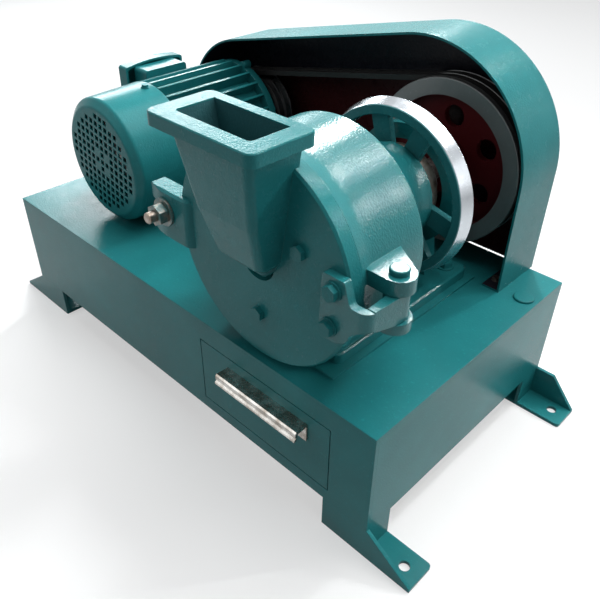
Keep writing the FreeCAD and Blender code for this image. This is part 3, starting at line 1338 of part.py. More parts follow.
# ---- motor ---------------------------------------------------------------------------------
def make_motor_frame():
    """The finned stator frame, cast with its two feet."""
    barrel = rod_y(MOTOR_X, MOTOR_Z, FRAME_R, FRAME_FRONT_Y, FRAME_BACK_Y)
    fins = []
    for angle in around(MOTOR_X, MOTOR_Z, FIN_COUNT):
        low_fin = 215.0 < angle < 325.0
        by_box = 150.0 < angle < 200.0
        if low_fin or by_box:
            continue
        fin = box(
            MOTOR_X + FRAME_R - 2,
            MOTOR_X + FIN_R,
            COWL_REAR_Y + 2.0,
            FRAME_BACK_Y,
            MOTOR_Z - FIN_T / 2,
            MOTOR_Z + FIN_T / 2,
        )
        fins.append(turned_copy(fin, MOTOR_X, MOTOR_Z, angle))
    feet = []
    ys = (MOTOR_BOLT_Y1 - MOTOR_BOLT_PITCH, MOTOR_BOLT_Y1)
    foot_top = BASE_TOP + MOTOR_FOOT_T
    y0 = COWL_REAR_Y + 1.0
    y1 = ys[1] + MOTOR_FOOT_W / 2
    for side in (-1, 1):
        pad_x = sorted((MOTOR_X + side * 54.0, MOTOR_X + side * MOTOR_FOOT_HALF))
        for y in ys:
            low, high = y - MOTOR_FOOT_W / 2, y + MOTOR_FOOT_W / 2
            feet.append(box(pad_x[0], pad_x[1], low, high, BASE_TOP, foot_top))
        rib = slab_y(
            [
                (MOTOR_X + side * 46.0, BASE_TOP),
                (MOTOR_X + side * 66.0, BASE_TOP),
                (MOTOR_X + side * 70.0, MOTOR_Z - 36.0),
                (MOTOR_X + side * 50.0, MOTOR_Z - 46.0),
            ],
            y0,
            y1,
        )
        feet.append(rib)
        rail = sorted((MOTOR_X + side * 46.0, MOTOR_X + side * 74.0))
        feet.append(box(rail[0], rail[1], ys[0], y1, BASE_TOP, foot_top))
    box_x = MOTOR_X - BOX_REACH + LID_T
    pad = box(
        box_x + BOX_DEPTH,
        MOTOR_X - FRAME_R + 14.0,
        LID_Y0 + BOX_INSET,
        LID_Y1 - BOX_INSET,
        MOTOR_Z + LID_BOTTOM + LID_OVERHANG,
        MOTOR_Z + 46.0,
    )
    solid = fused([barrel, pad] + fins + feet)
    cuts = [rod_y(MOTOR_X, MOTOR_Z, STATOR_R, FRAME_FRONT_Y - 1, FRAME_BACK_Y + 1)]
    for x, y in motor_bolt_places():
        cuts.append(rod_z(x, y, MOTOR_BOLT_R + 0.5, BASE_TOP - 1, BASE_TOP + MOTOR_FOOT_T + 1))
        cuts.append(rod_z(x, y, 2.3 * MOTOR_BOLT_R, BASE_TOP + MOTOR_FOOT_T, BASE_TOP + 34.0))
    return solid.cut(Part.makeCompound(cuts))


def make_drive_shield():
    """The end shield at the pulley, with radial ribs and the bearing seat."""
    body = turned_y(
        MOTOR_X,
        MOTOR_Z,
        [
            (FRAME_BACK_Y, MOTOR_BEARING_R),
            (FRAME_BACK_Y, SHIELD_R),
            (FRAME_BACK_Y + 12.0, SHIELD_R),
            (FRAME_BACK_Y + 16.0, SHIELD_R - 8.0),
            (SHIELD_BACK_Y - 6.0, MOTOR_BEARING_R + 17.0),
            (SHIELD_BACK_Y, MOTOR_BEARING_R + 13.0),
            (SHIELD_BACK_Y, MOTOR_SEAT_R + 1.5),
            (SHIELD_BACK_Y - 6.0, MOTOR_SEAT_R + 1.5),
            (SHIELD_BACK_Y - 6.0, MOTOR_BEARING_R),
        ],
    )
    ribs = []
    for angle in around(MOTOR_X, MOTOR_Z, SHIELD_RIB_COUNT, 22.5):
        rib = slab_z(
            [
                (MOTOR_X + MOTOR_BEARING_R + 9.0, FRAME_BACK_Y + 4.0),
                (MOTOR_X + SHIELD_R - 3.0, FRAME_BACK_Y + 4.0),
                (MOTOR_X + SHIELD_R - 3.0, FRAME_BACK_Y + 16.0),
                (MOTOR_X + MOTOR_BEARING_R + 13.0, SHIELD_BACK_Y - 2.0),
                (MOTOR_X + MOTOR_BEARING_R + 9.0, SHIELD_BACK_Y - 2.0),
            ],
            MOTOR_Z - 3.0,
            MOTOR_Z + 3.0,
        )
        ribs.append(turned_copy(rib, MOTOR_X, MOTOR_Z, angle))
    lugs = []
    round_at = SHIELD_LUG_REACH - SHIELD_LUG_W / 2
    lug_y1 = FRAME_BACK_Y + SHIELD_LUG_T
    for angle in SHIELD_LUG_ANGLES:
        bar = box(
            MOTOR_X + SHIELD_R - 12.0,
            MOTOR_X + round_at,
            FRAME_BACK_Y,
            lug_y1,
            MOTOR_Z - SHIELD_LUG_W / 2,
            MOTOR_Z + SHIELD_LUG_W / 2,
        )
        end = rod_y(MOTOR_X + round_at, MOTOR_Z, SHIELD_LUG_W / 2, FRAME_BACK_Y, lug_y1)
        lugs.append(turned_copy(bar.fuse(end).removeSplitter(), MOTOR_X, MOTOR_Z, angle))
    return fused([body] + ribs + lugs)


def make_rear_shield():
    """The end shield at the fan, with lugs that carry the cowl."""
    back = FRAME_FRONT_Y
    shield = turned_y(
        MOTOR_X,
        MOTOR_Z,
        [
            (back - 12.0, MOTOR_SEAT_R + 1.5),
            (back - 12.0, MOTOR_BEARING_R + 13.0),
            (back - 8.0, FRAME_R + 6.0),
            (back, FRAME_R + 6.0),
            (back, MOTOR_BEARING_R),
            (back - 6.0, MOTOR_BEARING_R),
            (back - 6.0, MOTOR_SEAT_R + 1.5),
        ],
    )
    lugs = []
    y = cowl_screw_y()
    reach = cowl_radius(y) - COWL_T - 2 * SEAM - FRAME_R
    for angle in COWL_SCREW_ANGLES:
        a = math.radians(angle)
        out = V(math.cos(a), 0, math.sin(a))
        start = V(MOTOR_X, y, MOTOR_Z) + out * (FRAME_R - 2.0)
        lugs.append(Part.makeCylinder(COWL_SCREW_R + 3.0, reach + 2.0, start, out))
    shield = fused([shield] + lugs)
    return shield.cut(Part.makeCompound(make_cowl_screws()))


def grille_holes():
    """Square holes in straight rows. The four next to the middle one's corners stay blank."""
    holes = []
    rows = int(GRILLE_R / GRILLE_PITCH)
    half = GRILLE_HOLE / 2
    for row in range(-rows, rows + 1):
        for column in range(-rows, rows + 1):
            x = column * GRILLE_PITCH
            z = row * GRILLE_PITCH
            blank = abs(row) == 1 and abs(column) == 1
            if math.hypot(x, z) > GRILLE_R or blank:
                continue
            hole = box(
                MOTOR_X + x - half,
                MOTOR_X + x + half,
                MOTOR_FRONT_Y - 1,
                MOTOR_FRONT_Y + COWL_T + 1,
                MOTOR_Z + z - half,
                MOTOR_Z + z + half,
            )
            holes.append(turned_copy(hole, MOTOR_X, MOTOR_Z, GRILLE_TURN))
    return holes


def cowl_radius(y):
    """The bell's outer radius at y, behind its shoulder."""
    shoulder_y = MOTOR_FRONT_Y + COWL_SHOULDER
    share = (y - shoulder_y) / (COWL_REAR_Y - shoulder_y)
    return COWL_SHOULDER_R + (COWL_R - COWL_SHOULDER_R) * share


def cowl_screw_y():
    """The screws' lugs end where the frame begins."""
    return FRAME_FRONT_Y - COWL_SCREW_R - 3.0 - SEAM


def cowl_solid(inset, rear):
    """A flat face, a bevel with soft bends and a bell that widens to the rear."""
    return rounded_turned_y(
        MOTOR_X,
        MOTOR_Z,
        [
            (MOTOR_FRONT_Y + inset, 0, 0),
            (MOTOR_FRONT_Y + inset, COWL_FACE_R - 0.4 * inset, COWL_BEND_R - inset),
            (MOTOR_FRONT_Y + COWL_SHOULDER + 0.4 * inset, COWL_SHOULDER_R - inset, COWL_BEND_R),
            (rear, cowl_radius(rear) - inset, 0),
            (rear, 0, 0),
        ],
    )


def make_cowl():
    outer = cowl_solid(0.0, COWL_REAR_Y)
    inner = cowl_solid(COWL_T, COWL_REAR_Y + 1)
    return outer.cut(inner).cut(Part.makeCompound(grille_holes()))


def make_cowl_screws():
    """Cap screws round the rear edge of the cowl."""
    screws = []
    y = cowl_screw_y()
    r = cowl_radius(y)
    for angle in COWL_SCREW_ANGLES:
        a = math.radians(angle)
        out = V(math.cos(a), 0, math.sin(a))
        axis = V(MOTOR_X, y, MOTOR_Z)
        washer = Part.makeCylinder(6.5, 1.6, axis + out * (r - 0.6), out)
        head = Part.makeCylinder(5.0, 4.0, axis + out * (r + 0.8), out)
        shank = Part.makeCylinder(COWL_SCREW_R, 9.0, axis + out * (r - 9.0), out)
        screws.append(fused([washer, head, shank]))
    return screws


def make_cowl_with_screw_holes():
    cowl = make_cowl()
    return cowl.cut(Part.makeCompound(make_cowl_screws()))


def make_fan():
    y0 = MOTOR_FRONT_Y + 28.0
    hub = ring_y(MOTOR_X, MOTOR_Z, 24.0, 10.0, y0 + 6.0, y0 + 40.0)
    plate = ring_y(MOTOR_X, MOTOR_Z, FAN_R - 8.0, 22.0, y0 + 36.0, y0 + 40.0)
    blades = []
    for angle in around(MOTOR_X, MOTOR_Z, FAN_BLADES):
        blade = box(
            MOTOR_X + 22.0, MOTOR_X + FAN_R, y0 + 8.0, y0 + 39.0, MOTOR_Z - 1.5, MOTOR_Z + 1.5
        )
        blades.append(turned_copy(blade, MOTOR_X, MOTOR_Z, angle))
    return fused([hub, plate] + blades)


def make_motor_rotor():
    """The shaft with the rotor core on it."""
    core_y0 = FRAME_FRONT_Y + 26.0
    core_y1 = FRAME_BACK_Y - 22.0
    front_seat = FRAME_FRONT_Y - 6.0
    rear_seat = SHIELD_BACK_Y - 6.0
    fan_y = MOTOR_FRONT_Y + 28.0
    return turned_y(
        MOTOR_X,
        MOTOR_Z,
        [
            (fan_y + 2.0, 0),
            (fan_y + 2.0, 10.0 - FIT),
            (front_seat - 8.0, 10.0 - FIT),
            (front_seat - 8.0, MOTOR_SEAT_R),
            (front_seat + MOTOR_BEARING_W, MOTOR_SEAT_R),
            (front_seat + MOTOR_BEARING_W, 17.0),
            (core_y0, 17.0),
            (core_y0, STATOR_BORE_R - CORE_GAP),
            (core_y1, STATOR_BORE_R - CORE_GAP),
            (core_y1, 17.0),
            (rear_seat - MOTOR_BEARING_W, 17.0),
            (rear_seat - MOTOR_BEARING_W, MOTOR_SEAT_R),
            (SHIELD_BACK_Y + 1.0, MOTOR_SEAT_R),
            (SHIELD_BACK_Y + 1.0, MOTOR_SHAFT_R),
            (MOTOR_SHAFT_END_Y, MOTOR_SHAFT_R),
            (MOTOR_SHAFT_END_Y, 0),
        ],
    )


def make_stator():
    core_y0 = FRAME_FRONT_Y + 26.0
    core_y1 = FRAME_BACK_Y - 22.0
    core = ring_y(MOTOR_X, MOTOR_Z, STATOR_R, STATOR_BORE_R, core_y0, core_y1)
    ends = [
        ring_y(MOTOR_X, MOTOR_Z, STATOR_R - 6.0, STATOR_BORE_R + 3.0, core_y0 - 16.0, core_y0),
        ring_y(MOTOR_X, MOTOR_Z, STATOR_R - 6.0, STATOR_BORE_R + 3.0, core_y1, core_y1 + 14.0),
    ]
    return [core] + ends


def make_motor_bearings():
    rings = []
    for y0 in (FRAME_FRONT_Y - 6.0, SHIELD_BACK_Y - 6.0 - MOTOR_BEARING_W):
        rings.append(
            ring_y(MOTOR_X, MOTOR_Z, MOTOR_BEARING_R, MOTOR_SEAT_R + FIT, y0, y0 + MOTOR_BEARING_W)
        )
    return rings


def terminal_levels():
    return MOTOR_Z + LID_BOTTOM, MOTOR_Z + LID_TOP


def make_terminal_box():
    """An open box on the frame's side. The lid closes it."""
    z0, z1 = terminal_levels()
    lid_x = MOTOR_X - BOX_REACH + LID_T
    reach = lid_x + BOX_DEPTH
    low, high = z0 + LID_OVERHANG, z1 - BOX_DROP
    outer = box(lid_x, reach, LID_Y0 + BOX_INSET, LID_Y1 - BOX_INSET, low, high)
    inner = box(lid_x - 1, reach - 4.0, LID_Y0 + BOX_INSET + 4, LID_Y1 - BOX_INSET - 4, low + 4, high - 4)
    outer = outer.makeFillet(6.0, length_edges(outer, BOX_DEPTH))
    return outer.cut(inner)


def length_edges(shape, length):
    """The straight edges along X that are as long as length."""
    return [e for e in shape.Edges if abs(e.BoundBox.XLength - length) < 1e-6]


def lid_outline(x, inset):
    """The lid's outline: rounded corners and a shallow dome on top."""
    z0, z1 = terminal_levels()
    y0, y1 = LID_Y0 + inset, LID_Y1 - inset
    top = z1 - inset
    mid = (y0 + y1) / 2
    eave = top - LID_CROWN
    quarter = (y1 - y0) / 4
    outline = [
        (y0, z0 + inset, 9.0),
        (y1, z0 + inset, 9.0),
        (y1, eave, 5.0),
        (mid + quarter, top - 0.25 * LID_CROWN, 400.0),
        (mid, top, 400.0),
        (mid - quarter, top - 0.25 * LID_CROWN, 400.0),
        (y0, eave, 5.0),
    ]
    return rounded_wire(outline, lambda y, z: V(x, y, z))


def make_lid():
    """A pressed lid with a domed top edge and rounded corners."""
    x0 = MOTOR_X - BOX_REACH
    shell = Part.Face(lid_outline(x0, 0.0)).extrude(V(LID_T, 0, 0))
    shell = shell.makeChamfer(1.5, [e for e in shell.Edges if e.BoundBox.XMax < x0 + 1e-4])
    hollow = Part.Face(lid_outline(x0 + 3.0, 4.0)).extrude(V(LID_T, 0, 0))
    return shell.cut(hollow)


def make_lid_screws():
    z0, z1 = terminal_levels()
    x0 = MOTOR_X - BOX_REACH
    screws = []
    for y in (LID_Y0 + 12.0, LID_Y1 - 12.0):
        for z in (z0 + 12.0, z1 - 20.0):
            screws.append(rod_x(y, z, 4.0, x0 - 2.5, x0))
    return screws


def make_gland():
    """The cable entry under the terminal box. No cable is fitted."""
    z0 = terminal_levels()[0] + LID_OVERHANG
    lid_x = MOTOR_X - BOX_REACH + LID_T
    x = lid_x + 15.0
    y = (LID_Y0 + LID_Y1) / 2 - 22.0
    collar = hexagon_z(x, y, 24.0, z0 - 8.0, z0)
    sleeve = rod_z(x, y, 9.5, z0 - 18.0, z0 - 7.0)
    return collar.fuse(sleeve).cut(rod_z(x, y, 6.0, z0 - 19.0, z0 + 1))


# ---- hinge ---------------------------------------------------------------------------------
def arm_plate(y0, y1):
    """The arm seen from the front: the bolted plate and the start of the bar."""
    bar_top = KNUCKLE_TOP_Z - 3.0
    bar_low = bar_top - ARM_BAR_H
    end = HINGE_X + KNUCKLE_R + 1.0
    outline = [
        (ARM_LEFT_X, ARM_TOP_Z, 3.0),
        (ARM_RIGHT_X, ARM_TOP_Z, 3.0),
        (ARM_RIGHT_X + 8.0, bar_top, 6.0),
        (end, bar_top, 0),
        (end, bar_low, 0),
        (HINGE_X, bar_low - 3.0, 14.0),
        (ARM_RIGHT_X + 10.0, bar_low - 12.0, 8.0),
        (ARM_RIGHT_X + 5.0, ARM_BOTTOM_Z + 7.0, 8.0),
        (ARM_RIGHT_X - 8.0, ARM_BOTTOM_Z, 8.0),
        (ARM_LEFT_X + 4.0, ARM_BOTTOM_Z, 8.0),
        (ARM_LEFT_X - 2.0, ARM_BOTTOM_Z + 11.0, 6.0),
    ]
    return rounded_slab_y(outline, y0, y1)


def arm_bar(x0, x1):
    """The bar seen from the side. It grows in height towards the knuckle."""
    front = DOOR_FRONT_Y - ARM_T
    bar_top = KNUCKLE_TOP_Z - 3.0
    outline = [
        (front - 1, bar_top, 0),
        (HINGE_Y - KNUCKLE_R, KNUCKLE_TOP_Z, 20.0),
        (HINGE_Y, KNUCKLE_TOP_Z, 0),
        (HINGE_Y, KNUCKLE_LOW_Z, 0),
        (HINGE_Y - KNUCKLE_R, KNUCKLE_LOW_Z, 20.0),
        (HINGE_Y - 2.5 * KNUCKLE_R, bar_top - ARM_BAR_H - 5.0, 30.0),
        (front - 1, bar_top - ARM_BAR_H, 0),
    ]
    return rounded_slab_x(outline, x0, x1)


def make_hinge_arm():
    """A cast arm bolted on the door. It turns back round the rim to the knuckle."""
    front = DOOR_FRONT_Y - ARM_T
    right = HINGE_X + KNUCKLE_R
    plan = [
        (ARM_LEFT_X - 3.0, front, 0),
        (HINGE_X + ARM_BAR_T, front, ARM_BEND_R),
        (right - 0.3, HINGE_Y - 3.0, 0),
        (HINGE_X, HINGE_Y, 0),
        (HINGE_X, DOOR_FRONT_Y, 3.0),
        (ARM_LEFT_X - 3.0, DOOR_FRONT_Y, 0),
    ]
    strap = rounded_slab_z(plan, ARM_BOTTOM_Z - 1, ARM_TOP_Z + 1)
    split = DOOR_FRONT_Y + 1.0
    plate = strap.common(arm_plate(front - 1, split))
    bar = strap.common(arm_bar(HINGE_X - 4.0, right + 1)).common(
        box(HINGE_X - 4.0, right + 1, split, HINGE_Y + 1, ARM_BOTTOM_Z, ARM_TOP_Z)
    )
    knuckle = rod_z(HINGE_X, HINGE_Y, KNUCKLE_R, KNUCKLE_LOW_Z, KNUCKLE_TOP_Z)
    arm = fused([plate, bar, knuckle])
    cuts = [rod_z(HINGE_X, HINGE_Y, HINGE_PIN_R + FIT, KNUCKLE_LOW_Z - 1, KNUCKLE_TOP_Z + 1)]
    for x, z in ARM_BOLTS:
        cuts.append(rod_y(x, z, DISC_BOLT_R + FIT, front - 1, DOOR_FRONT_Y + 1))
    return arm.cut(Part.makeCompound(cuts))


def make_hinge_pin():
    shank = rod_z(HINGE_X, HINGE_Y, HINGE_PIN_R, LOW_LUG_Z - LOW_LUG_T - 4, LUG_TOP_Z + 1)
    top = LUG_TOP_Z + HINGE_HEAD_T
    head = rod_z(HINGE_X, HINGE_Y, HINGE_HEAD_R, LUG_TOP_Z, top)
    return shank.fuse(head.makeFillet(1.5, level_edges(head, top)))


# ---- latch ---------------------------------------------------------------------------------
def make_latch_pin():
    low = latch_ear_levels()[0][0]
    high = latch_ear_levels()[1][1]
    shank = rod_z(LATCH_X, LATCH_PIVOT_Y, LATCH_PIN_R, low - 3, high + 1)
    return shank.fuse(rod_z(LATCH_X, LATCH_PIVOT_Y, 1.5 * LATCH_PIN_R, high, high + 4))


def make_swing_bolt():
    half = LATCH_EYE_H / 2
    eye = rod_z(LATCH_X, LATCH_PIVOT_Y, LATCH_EYE_R - 1, LATCH_Z - half, LATCH_Z + half)
    shank = rod_y(LATCH_X, LATCH_Z, LATCH_R, LATCH_END_Y, LATCH_PIVOT_Y - 2)
    tip = [e for e in shank.Edges if len(e.Vertexes) == 1 and e.BoundBox.YMax < LATCH_END_Y + 1]
    bolt = fused([eye, shank.makeChamfer(1.5, tip)])
    return bolt.cut(rod_z(LATCH_X, LATCH_PIVOT_Y, LATCH_PIN_R + FIT, LATCH_Z - 30, LATCH_Z + 30))


def make_latch_washer():
    back = CATCH_FRONT_Y - SEAM
    return ring_y(LATCH_X, LATCH_Z, WASHER_R, LATCH_R + FIT, back - WASHER_T, back)


def make_latch_nut():
    back = CATCH_FRONT_Y - SEAM - WASHER_T - SEAM
    nut = hexagon_y(LATCH_X, LATCH_Z, LATCH_NUT_AF, back - LATCH_NUT_H, back)
    return nut.cut(rod_y(LATCH_X, LATCH_Z, LATCH_R + FIT, back - LATCH_NUT_H - 1, back + 1))


# ---- every node ----------------------------------------------------------------------------
def build_cabinet():
    save("base_top_plate", make_top_plate())
    save("base_front_panel", make_long_panel(True))
    save("base_back_panel", make_long_panel(False))
    save("base_left_panel", make_end_panel(-1))
    save("base_right_panel", make_end_panel(1))
    for side, word in ((-1, "left"), (1, "right")):
        save("foot_front_" + word, make_foot(side, True))
        save("foot_back_" + word, make_foot(side, False))
    save("top_plug", make_top_plug())
    save("mill_pad_plate", make_pad_plate())
    save("discharge_chute", make_chute())
    save("drawer_runners", *make_runners())


def build_drawer():
    save("drawer_front", make_drawer_front())
    save("drawer_tray", make_tray())
    save("drawer_handle", make_handle())
    save("handle_screws", *make_handle_screws())


def build_mill():
    save("mill_body", make_mill_body())
    grip = BED_TOP - PLATE_UNDER
    save("mill_bolts", *[hung_bolt(x, y, BED_TOP, MILL_BOLT_R, grip) for x, y in mill_bolt_places()])
    save("quill_key_screw", make_key_screw())
    save("door_hopper", make_door())
    save("fixed_disc", make_fixed_disc())
    save("hinge_arm", make_hinge_arm())
    tip = FIXED_FACE_Y - RIB_DEPTH - 3
    seat = DOOR_FRONT_Y - ARM_T
    disc_bolts = [face_bolt(x, z, DOOR_FRONT_Y, tip, False) for x, z in disc_bolt_places()]
    arm_bolts = [face_bolt(x, z, seat, DOOR_BACK_Y - 1, True) for x, z in ARM_BOLTS]
    save("door_bolts", *(disc_bolts + arm_bolts))
    save("hinge_pin", make_hinge_pin())
    save("latch_pin", make_latch_pin())
    save("swing_bolt", make_swing_bolt())
    save("latch_washer", make_latch_washer())
    save("latch_nut", make_latch_nut())


def build_spindle():
    save("rotating_disc", make_rotating_disc())
    save("rotor_head", make_rotor_head())
    save("rotor_nut", make_rotor_nut())
    save("spindle", make_spindle())
    save("pulley_key", make_pulley_key())
    inner, outer, balls = make_bearings()
    save("bearing_inner_rings", *inner)
    save("bearing_outer_rings", *(outer + balls))
    save("quill", make_quill())
    save("quill_caps", *make_quill_caps())
    save("nut_retainer", make_retainer())
    save("adjusting_nut", make_adjusting_nut())
    save("hand_wheel", make_hand_wheel())


def build_drive():
    save("mill_pulley", make_big_pulley())
    save("motor_pulley", make_small_pulley())
    save("v_belts", *[make_belt(y) for y in BELT_YS])
    save("guard_wrap", make_guard_wrap())
    save("guard_back", make_guard_back())
    save("guard_bolts", *make_guard_bolts())


def build_motor():
    save("motor_frame", make_motor_frame())
    save("motor_drive_shield", make_drive_shield())
    save("motor_rear_shield", make_rear_shield())
    save("fan_cowl", make_cowl_with_screw_holes())
    save("motor_fan", make_fan())
    save("motor_rotor", make_motor_rotor())
    save("motor_stator", *make_stator())
    save("motor_bearings", *make_motor_bearings())
    grip = MOTOR_FOOT_T + SHEET
    seat = BASE_TOP + MOTOR_FOOT_T
    save("motor_bolts", *[hung_bolt(x, y, seat, MOTOR_BOLT_R, grip) for x, y in motor_bolt_places()])
    save("terminal_box", make_terminal_box())
    save("terminal_lid", make_lid())
    save("motor_screws", *(make_cowl_screws() + make_lid_screws()))
    save("cable_gland", make_gland())


os.makedirs("parts", exist_ok=True)
build_cabinet()
build_drawer()
build_mill()
build_spindle()
build_drive()
build_motor()
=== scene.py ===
import math
import bpy
from mathutils import Matrix, Vector


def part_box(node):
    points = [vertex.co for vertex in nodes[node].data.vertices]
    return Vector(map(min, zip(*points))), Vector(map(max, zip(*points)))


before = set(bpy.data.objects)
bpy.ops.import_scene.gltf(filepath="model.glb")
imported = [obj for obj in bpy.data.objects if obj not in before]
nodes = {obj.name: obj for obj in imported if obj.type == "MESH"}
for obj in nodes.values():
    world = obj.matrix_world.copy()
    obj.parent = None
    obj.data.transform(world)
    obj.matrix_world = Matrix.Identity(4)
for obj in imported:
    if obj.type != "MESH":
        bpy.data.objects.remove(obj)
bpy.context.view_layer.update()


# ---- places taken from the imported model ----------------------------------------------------
def middle(node, axis):
    low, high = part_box(node)
    return (low[axis] + high[axis]) / 2


SPINDLE_X = middle("mill_pulley", 0)
SPINDLE_Z = middle("mill_pulley", 2)

# Where one finish ends and the next begins, in metres.
WHEEL_FACE_R = 0.1119
PULLEY_WEB_R = 0.0945
GUARD_MIDDLE = (0.0, 0.17, 0.30)
FUNNEL_LOW_Z, FUNNEL_HIGH_Z = 0.354, 0.494
FUNNEL_HALF_LOW, FUNNEL_HALF_HIGH = 0.0330, 0.0535
FUNNEL_FRONT_LOW, FUNNEL_FRONT_HIGH = -0.223, -0.2525
FUNNEL_FLOOR_Z = 0.340
RIM_BORDER = 0.0015
DOOR_BORDER_Y = -0.1995
# Lower border of the painted shade band on the guard's back plate, rising along X.
SHADE_BAND_Z, SHADE_BAND_SLOPE = 0.409, 0.2


# ---- node helpers --------------------------------------------------------------------------
def new_material(name, color, rough, metal=0.0, gloss=0.5):
    m = bpy.data.materials.new(name)
    m.use_nodes = True
    m.diffuse_color = (*color, 1.0)
    tree = m.node_tree
    shader = tree.nodes["Principled BSDF"]
    shader.inputs["Base Color"].default_value = (*color, 1.0)
    shader.inputs["Roughness"].default_value = rough
    shader.inputs["Metallic"].default_value = metal
    shader.inputs["Specular IOR Level"].default_value = gloss
    return m, tree, shader


def add(tree, kind, **inputs):
    n = tree.nodes.new(kind)
    for key, value in inputs.items():
        n.inputs[key.replace("_", " ")].default_value = value
    return n


def feed(tree, socket, value):
    """Link a socket, or set the value."""
    if isinstance(value, bpy.types.NodeSocket):
        tree.links.new(value, socket)
    elif isinstance(value, tuple):
        socket.default_value = (*value, 1.0)
    else:
        socket.default_value = value


def place(tree):
    """The point in object space, which here is the row frame in metres."""
    return tree.nodes.new("ShaderNodeTexCoord").outputs["Object"]


def noise(tree, scale, detail=3.0, rough=0.5, stretch=(1, 1, 1)):
    mapping = add(tree, "ShaderNodeMapping", Scale=stretch)
    n = add(tree, "ShaderNodeTexNoise", Scale=scale, Detail=detail, Roughness=rough)
    tree.links.new(place(tree), mapping.inputs["Vector"])
    tree.links.new(mapping.outputs["Vector"], n.inputs["Vector"])
    return n.outputs["Fac"]


def calc(tree, how, a, b=0.0):
    n = tree.nodes.new("ShaderNodeMath")
    n.operation = how
    feed(tree, n.inputs[0], a)
    feed(tree, n.inputs[1], b)
    return n.outputs[0]


def ramp(tree, fac, stops):
    r = tree.nodes.new("ShaderNodeValToRGB")
    points = r.color_ramp.elements
    while len(points) < len(stops):
        points.new(0.5)
    for p, (at, color) in zip(points, stops):
        p.position = at
        p.color = (*color, 1.0)
    tree.links.new(fac, r.inputs["Fac"])
    return r.outputs["Color"]


def span(tree, fac, low, high, from_low=0.3, from_high=0.7):
    r = add(tree, "ShaderNodeMapRange")
    r.inputs["From Min"].default_value = from_low
    r.inputs["From Max"].default_value = from_high
    r.inputs["To Min"].default_value = low
    r.inputs["To Max"].default_value = high
    tree.links.new(fac, r.inputs["Value"])
    return r.outputs["Result"]


def blend(tree, fac, a, b):
    """Mix two colours, or two values, by fac."""
    n = tree.nodes.new("ShaderNodeMix")
    colors = isinstance(a, tuple) or (not isinstance(a, (int, float)) and a.type == "RGBA")
    n.data_type = "RGBA" if colors else "FLOAT"
    first = 6 if colors else 2
    feed(tree, n.inputs[0], fac)
    feed(tree, n.inputs[first], a)
    feed(tree, n.inputs[first + 1], b)
    return n.outputs[2 if colors else 0]


def bump(tree, shader, heights, edge=0.0):
    """heights: (fac, distance in metres, strength). edge is the paint's radius on sharp edges."""
    last = None
    if edge:
        rounded = add(tree, "ShaderNodeBevel", Radius=edge)
        rounded.samples = 4
        last = rounded.outputs["Normal"]
    for fac, distance, strength in heights:
        b = add(tree, "ShaderNodeBump", Strength=strength, Distance=distance)
        tree.links.new(fac, b.inputs["Height"])
        if last:
            tree.links.new(last, b.inputs["Normal"])
        last = b.outputs["Normal"]
    tree.links.new(last, shader.inputs["Normal"])


def scaled(color, k):
    return tuple(min(1.0, c * k) for c in color)


def split(tree):
    n = tree.nodes.new("ShaderNodeSeparateXYZ")
    tree.links.new(place(tree), n.inputs[0])
    return n.outputs


def radius_from(tree, x, z):
    """Distance from a line along Y."""
    px, _, pz = split(tree)
    dx = calc(tree, "SUBTRACT", px, x)
    dz = calc(tree, "SUBTRACT", pz, z)
    squares = calc(tree, "ADD", calc(tree, "MULTIPLY", dx, dx), calc(tree, "MULTIPLY", dz, dz))
    return calc(tree, "SQRT", squares)


def beyond(tree, value, limit, width=0.0004):
    """0 under the limit, 1 over it."""
    return span(tree, value, 0.0, 1.0, limit - width, limit + width)


def facing(tree, x, y, z):
    """1 on the faces that look away from the point x, y, z."""
    geometry = tree.nodes.new("ShaderNodeNewGeometry")
    out = tree.nodes.new("ShaderNodeVectorMath")
    out.operation = "SUBTRACT"
    tree.links.new(place(tree), out.inputs[0])
    out.inputs[1].default_value = (x, y, z)
    dot = tree.nodes.new("ShaderNodeVectorMath")
    dot.operation = "DOT_PRODUCT"
    tree.links.new(out.outputs[0], dot.inputs[0])
    tree.links.new(geometry.outputs["Normal"], dot.inputs[1])
    return beyond(tree, dot.outputs["Value"], 0.0, 0.004)


# ---- materials -----------------------------------------------------------------------------
TEAL = (0.016, 0.168, 0.178)
RED = (0.085, 0.008, 0.010)
# Painted shade: this near-black stands in for the shade inside the belt guard, on its inner faces and over
# the belts.
SHADE_BLACK = (0.013, 0.013, 0.019)
GLOSS = 0.11


def enamel_color(tree, color=TEAL):
    """Sprayed enamel: broad clouds of tone, and fine lighter specks that are painted glints standing in for
    the sparkle of orange peel.
    """
    clouds = noise(tree, 7.0, 4.0, 0.55)
    body = ramp(tree, clouds, [(0.3, scaled(color, 0.86)), (0.52, color), (0.72, scaled(color, 1.16))])
    # Painted glints: small specks up to 1.5 times lighter, in place of highlights on the orange peel.
    glint_specks = noise(tree, 210.0, 2.0, 0.6)
    return blend(tree, span(tree, glint_specks, 0.0, 0.35, 0.62, 0.75), body, scaled(color, 1.5))


def paint_relief(tree, peel, lumps=0.0):
    """Orange peel, and the lumps of a casting where there are any."""
    heights = [(noise(tree, 400.0, 2.0, 0.5), peel, 1.0)]
    if lumps:
        heights.append((noise(tree, 62.0, 3.0, 0.55), lumps, 0.7))
    return heights


def enamel(name, color=TEAL, lumps=0.0, peel=0.0003, rough=(0.15, 0.27), edge=0.0012, gloss=GLOSS):
    """Glossy enamel with orange peel, and the lumps of a casting under it."""
    m, tree, shader = new_material(name, color, 0.24, gloss=gloss)
    tree.links.new(enamel_color(tree, color), shader.inputs["Base Color"])
    smear = noise(tree, 48.0, 3.0, 0.6)
    tree.links.new(span(tree, smear, *rough), shader.inputs["Roughness"])
    bump(tree, shader, paint_relief(tree, peel, lumps), edge)
    return m


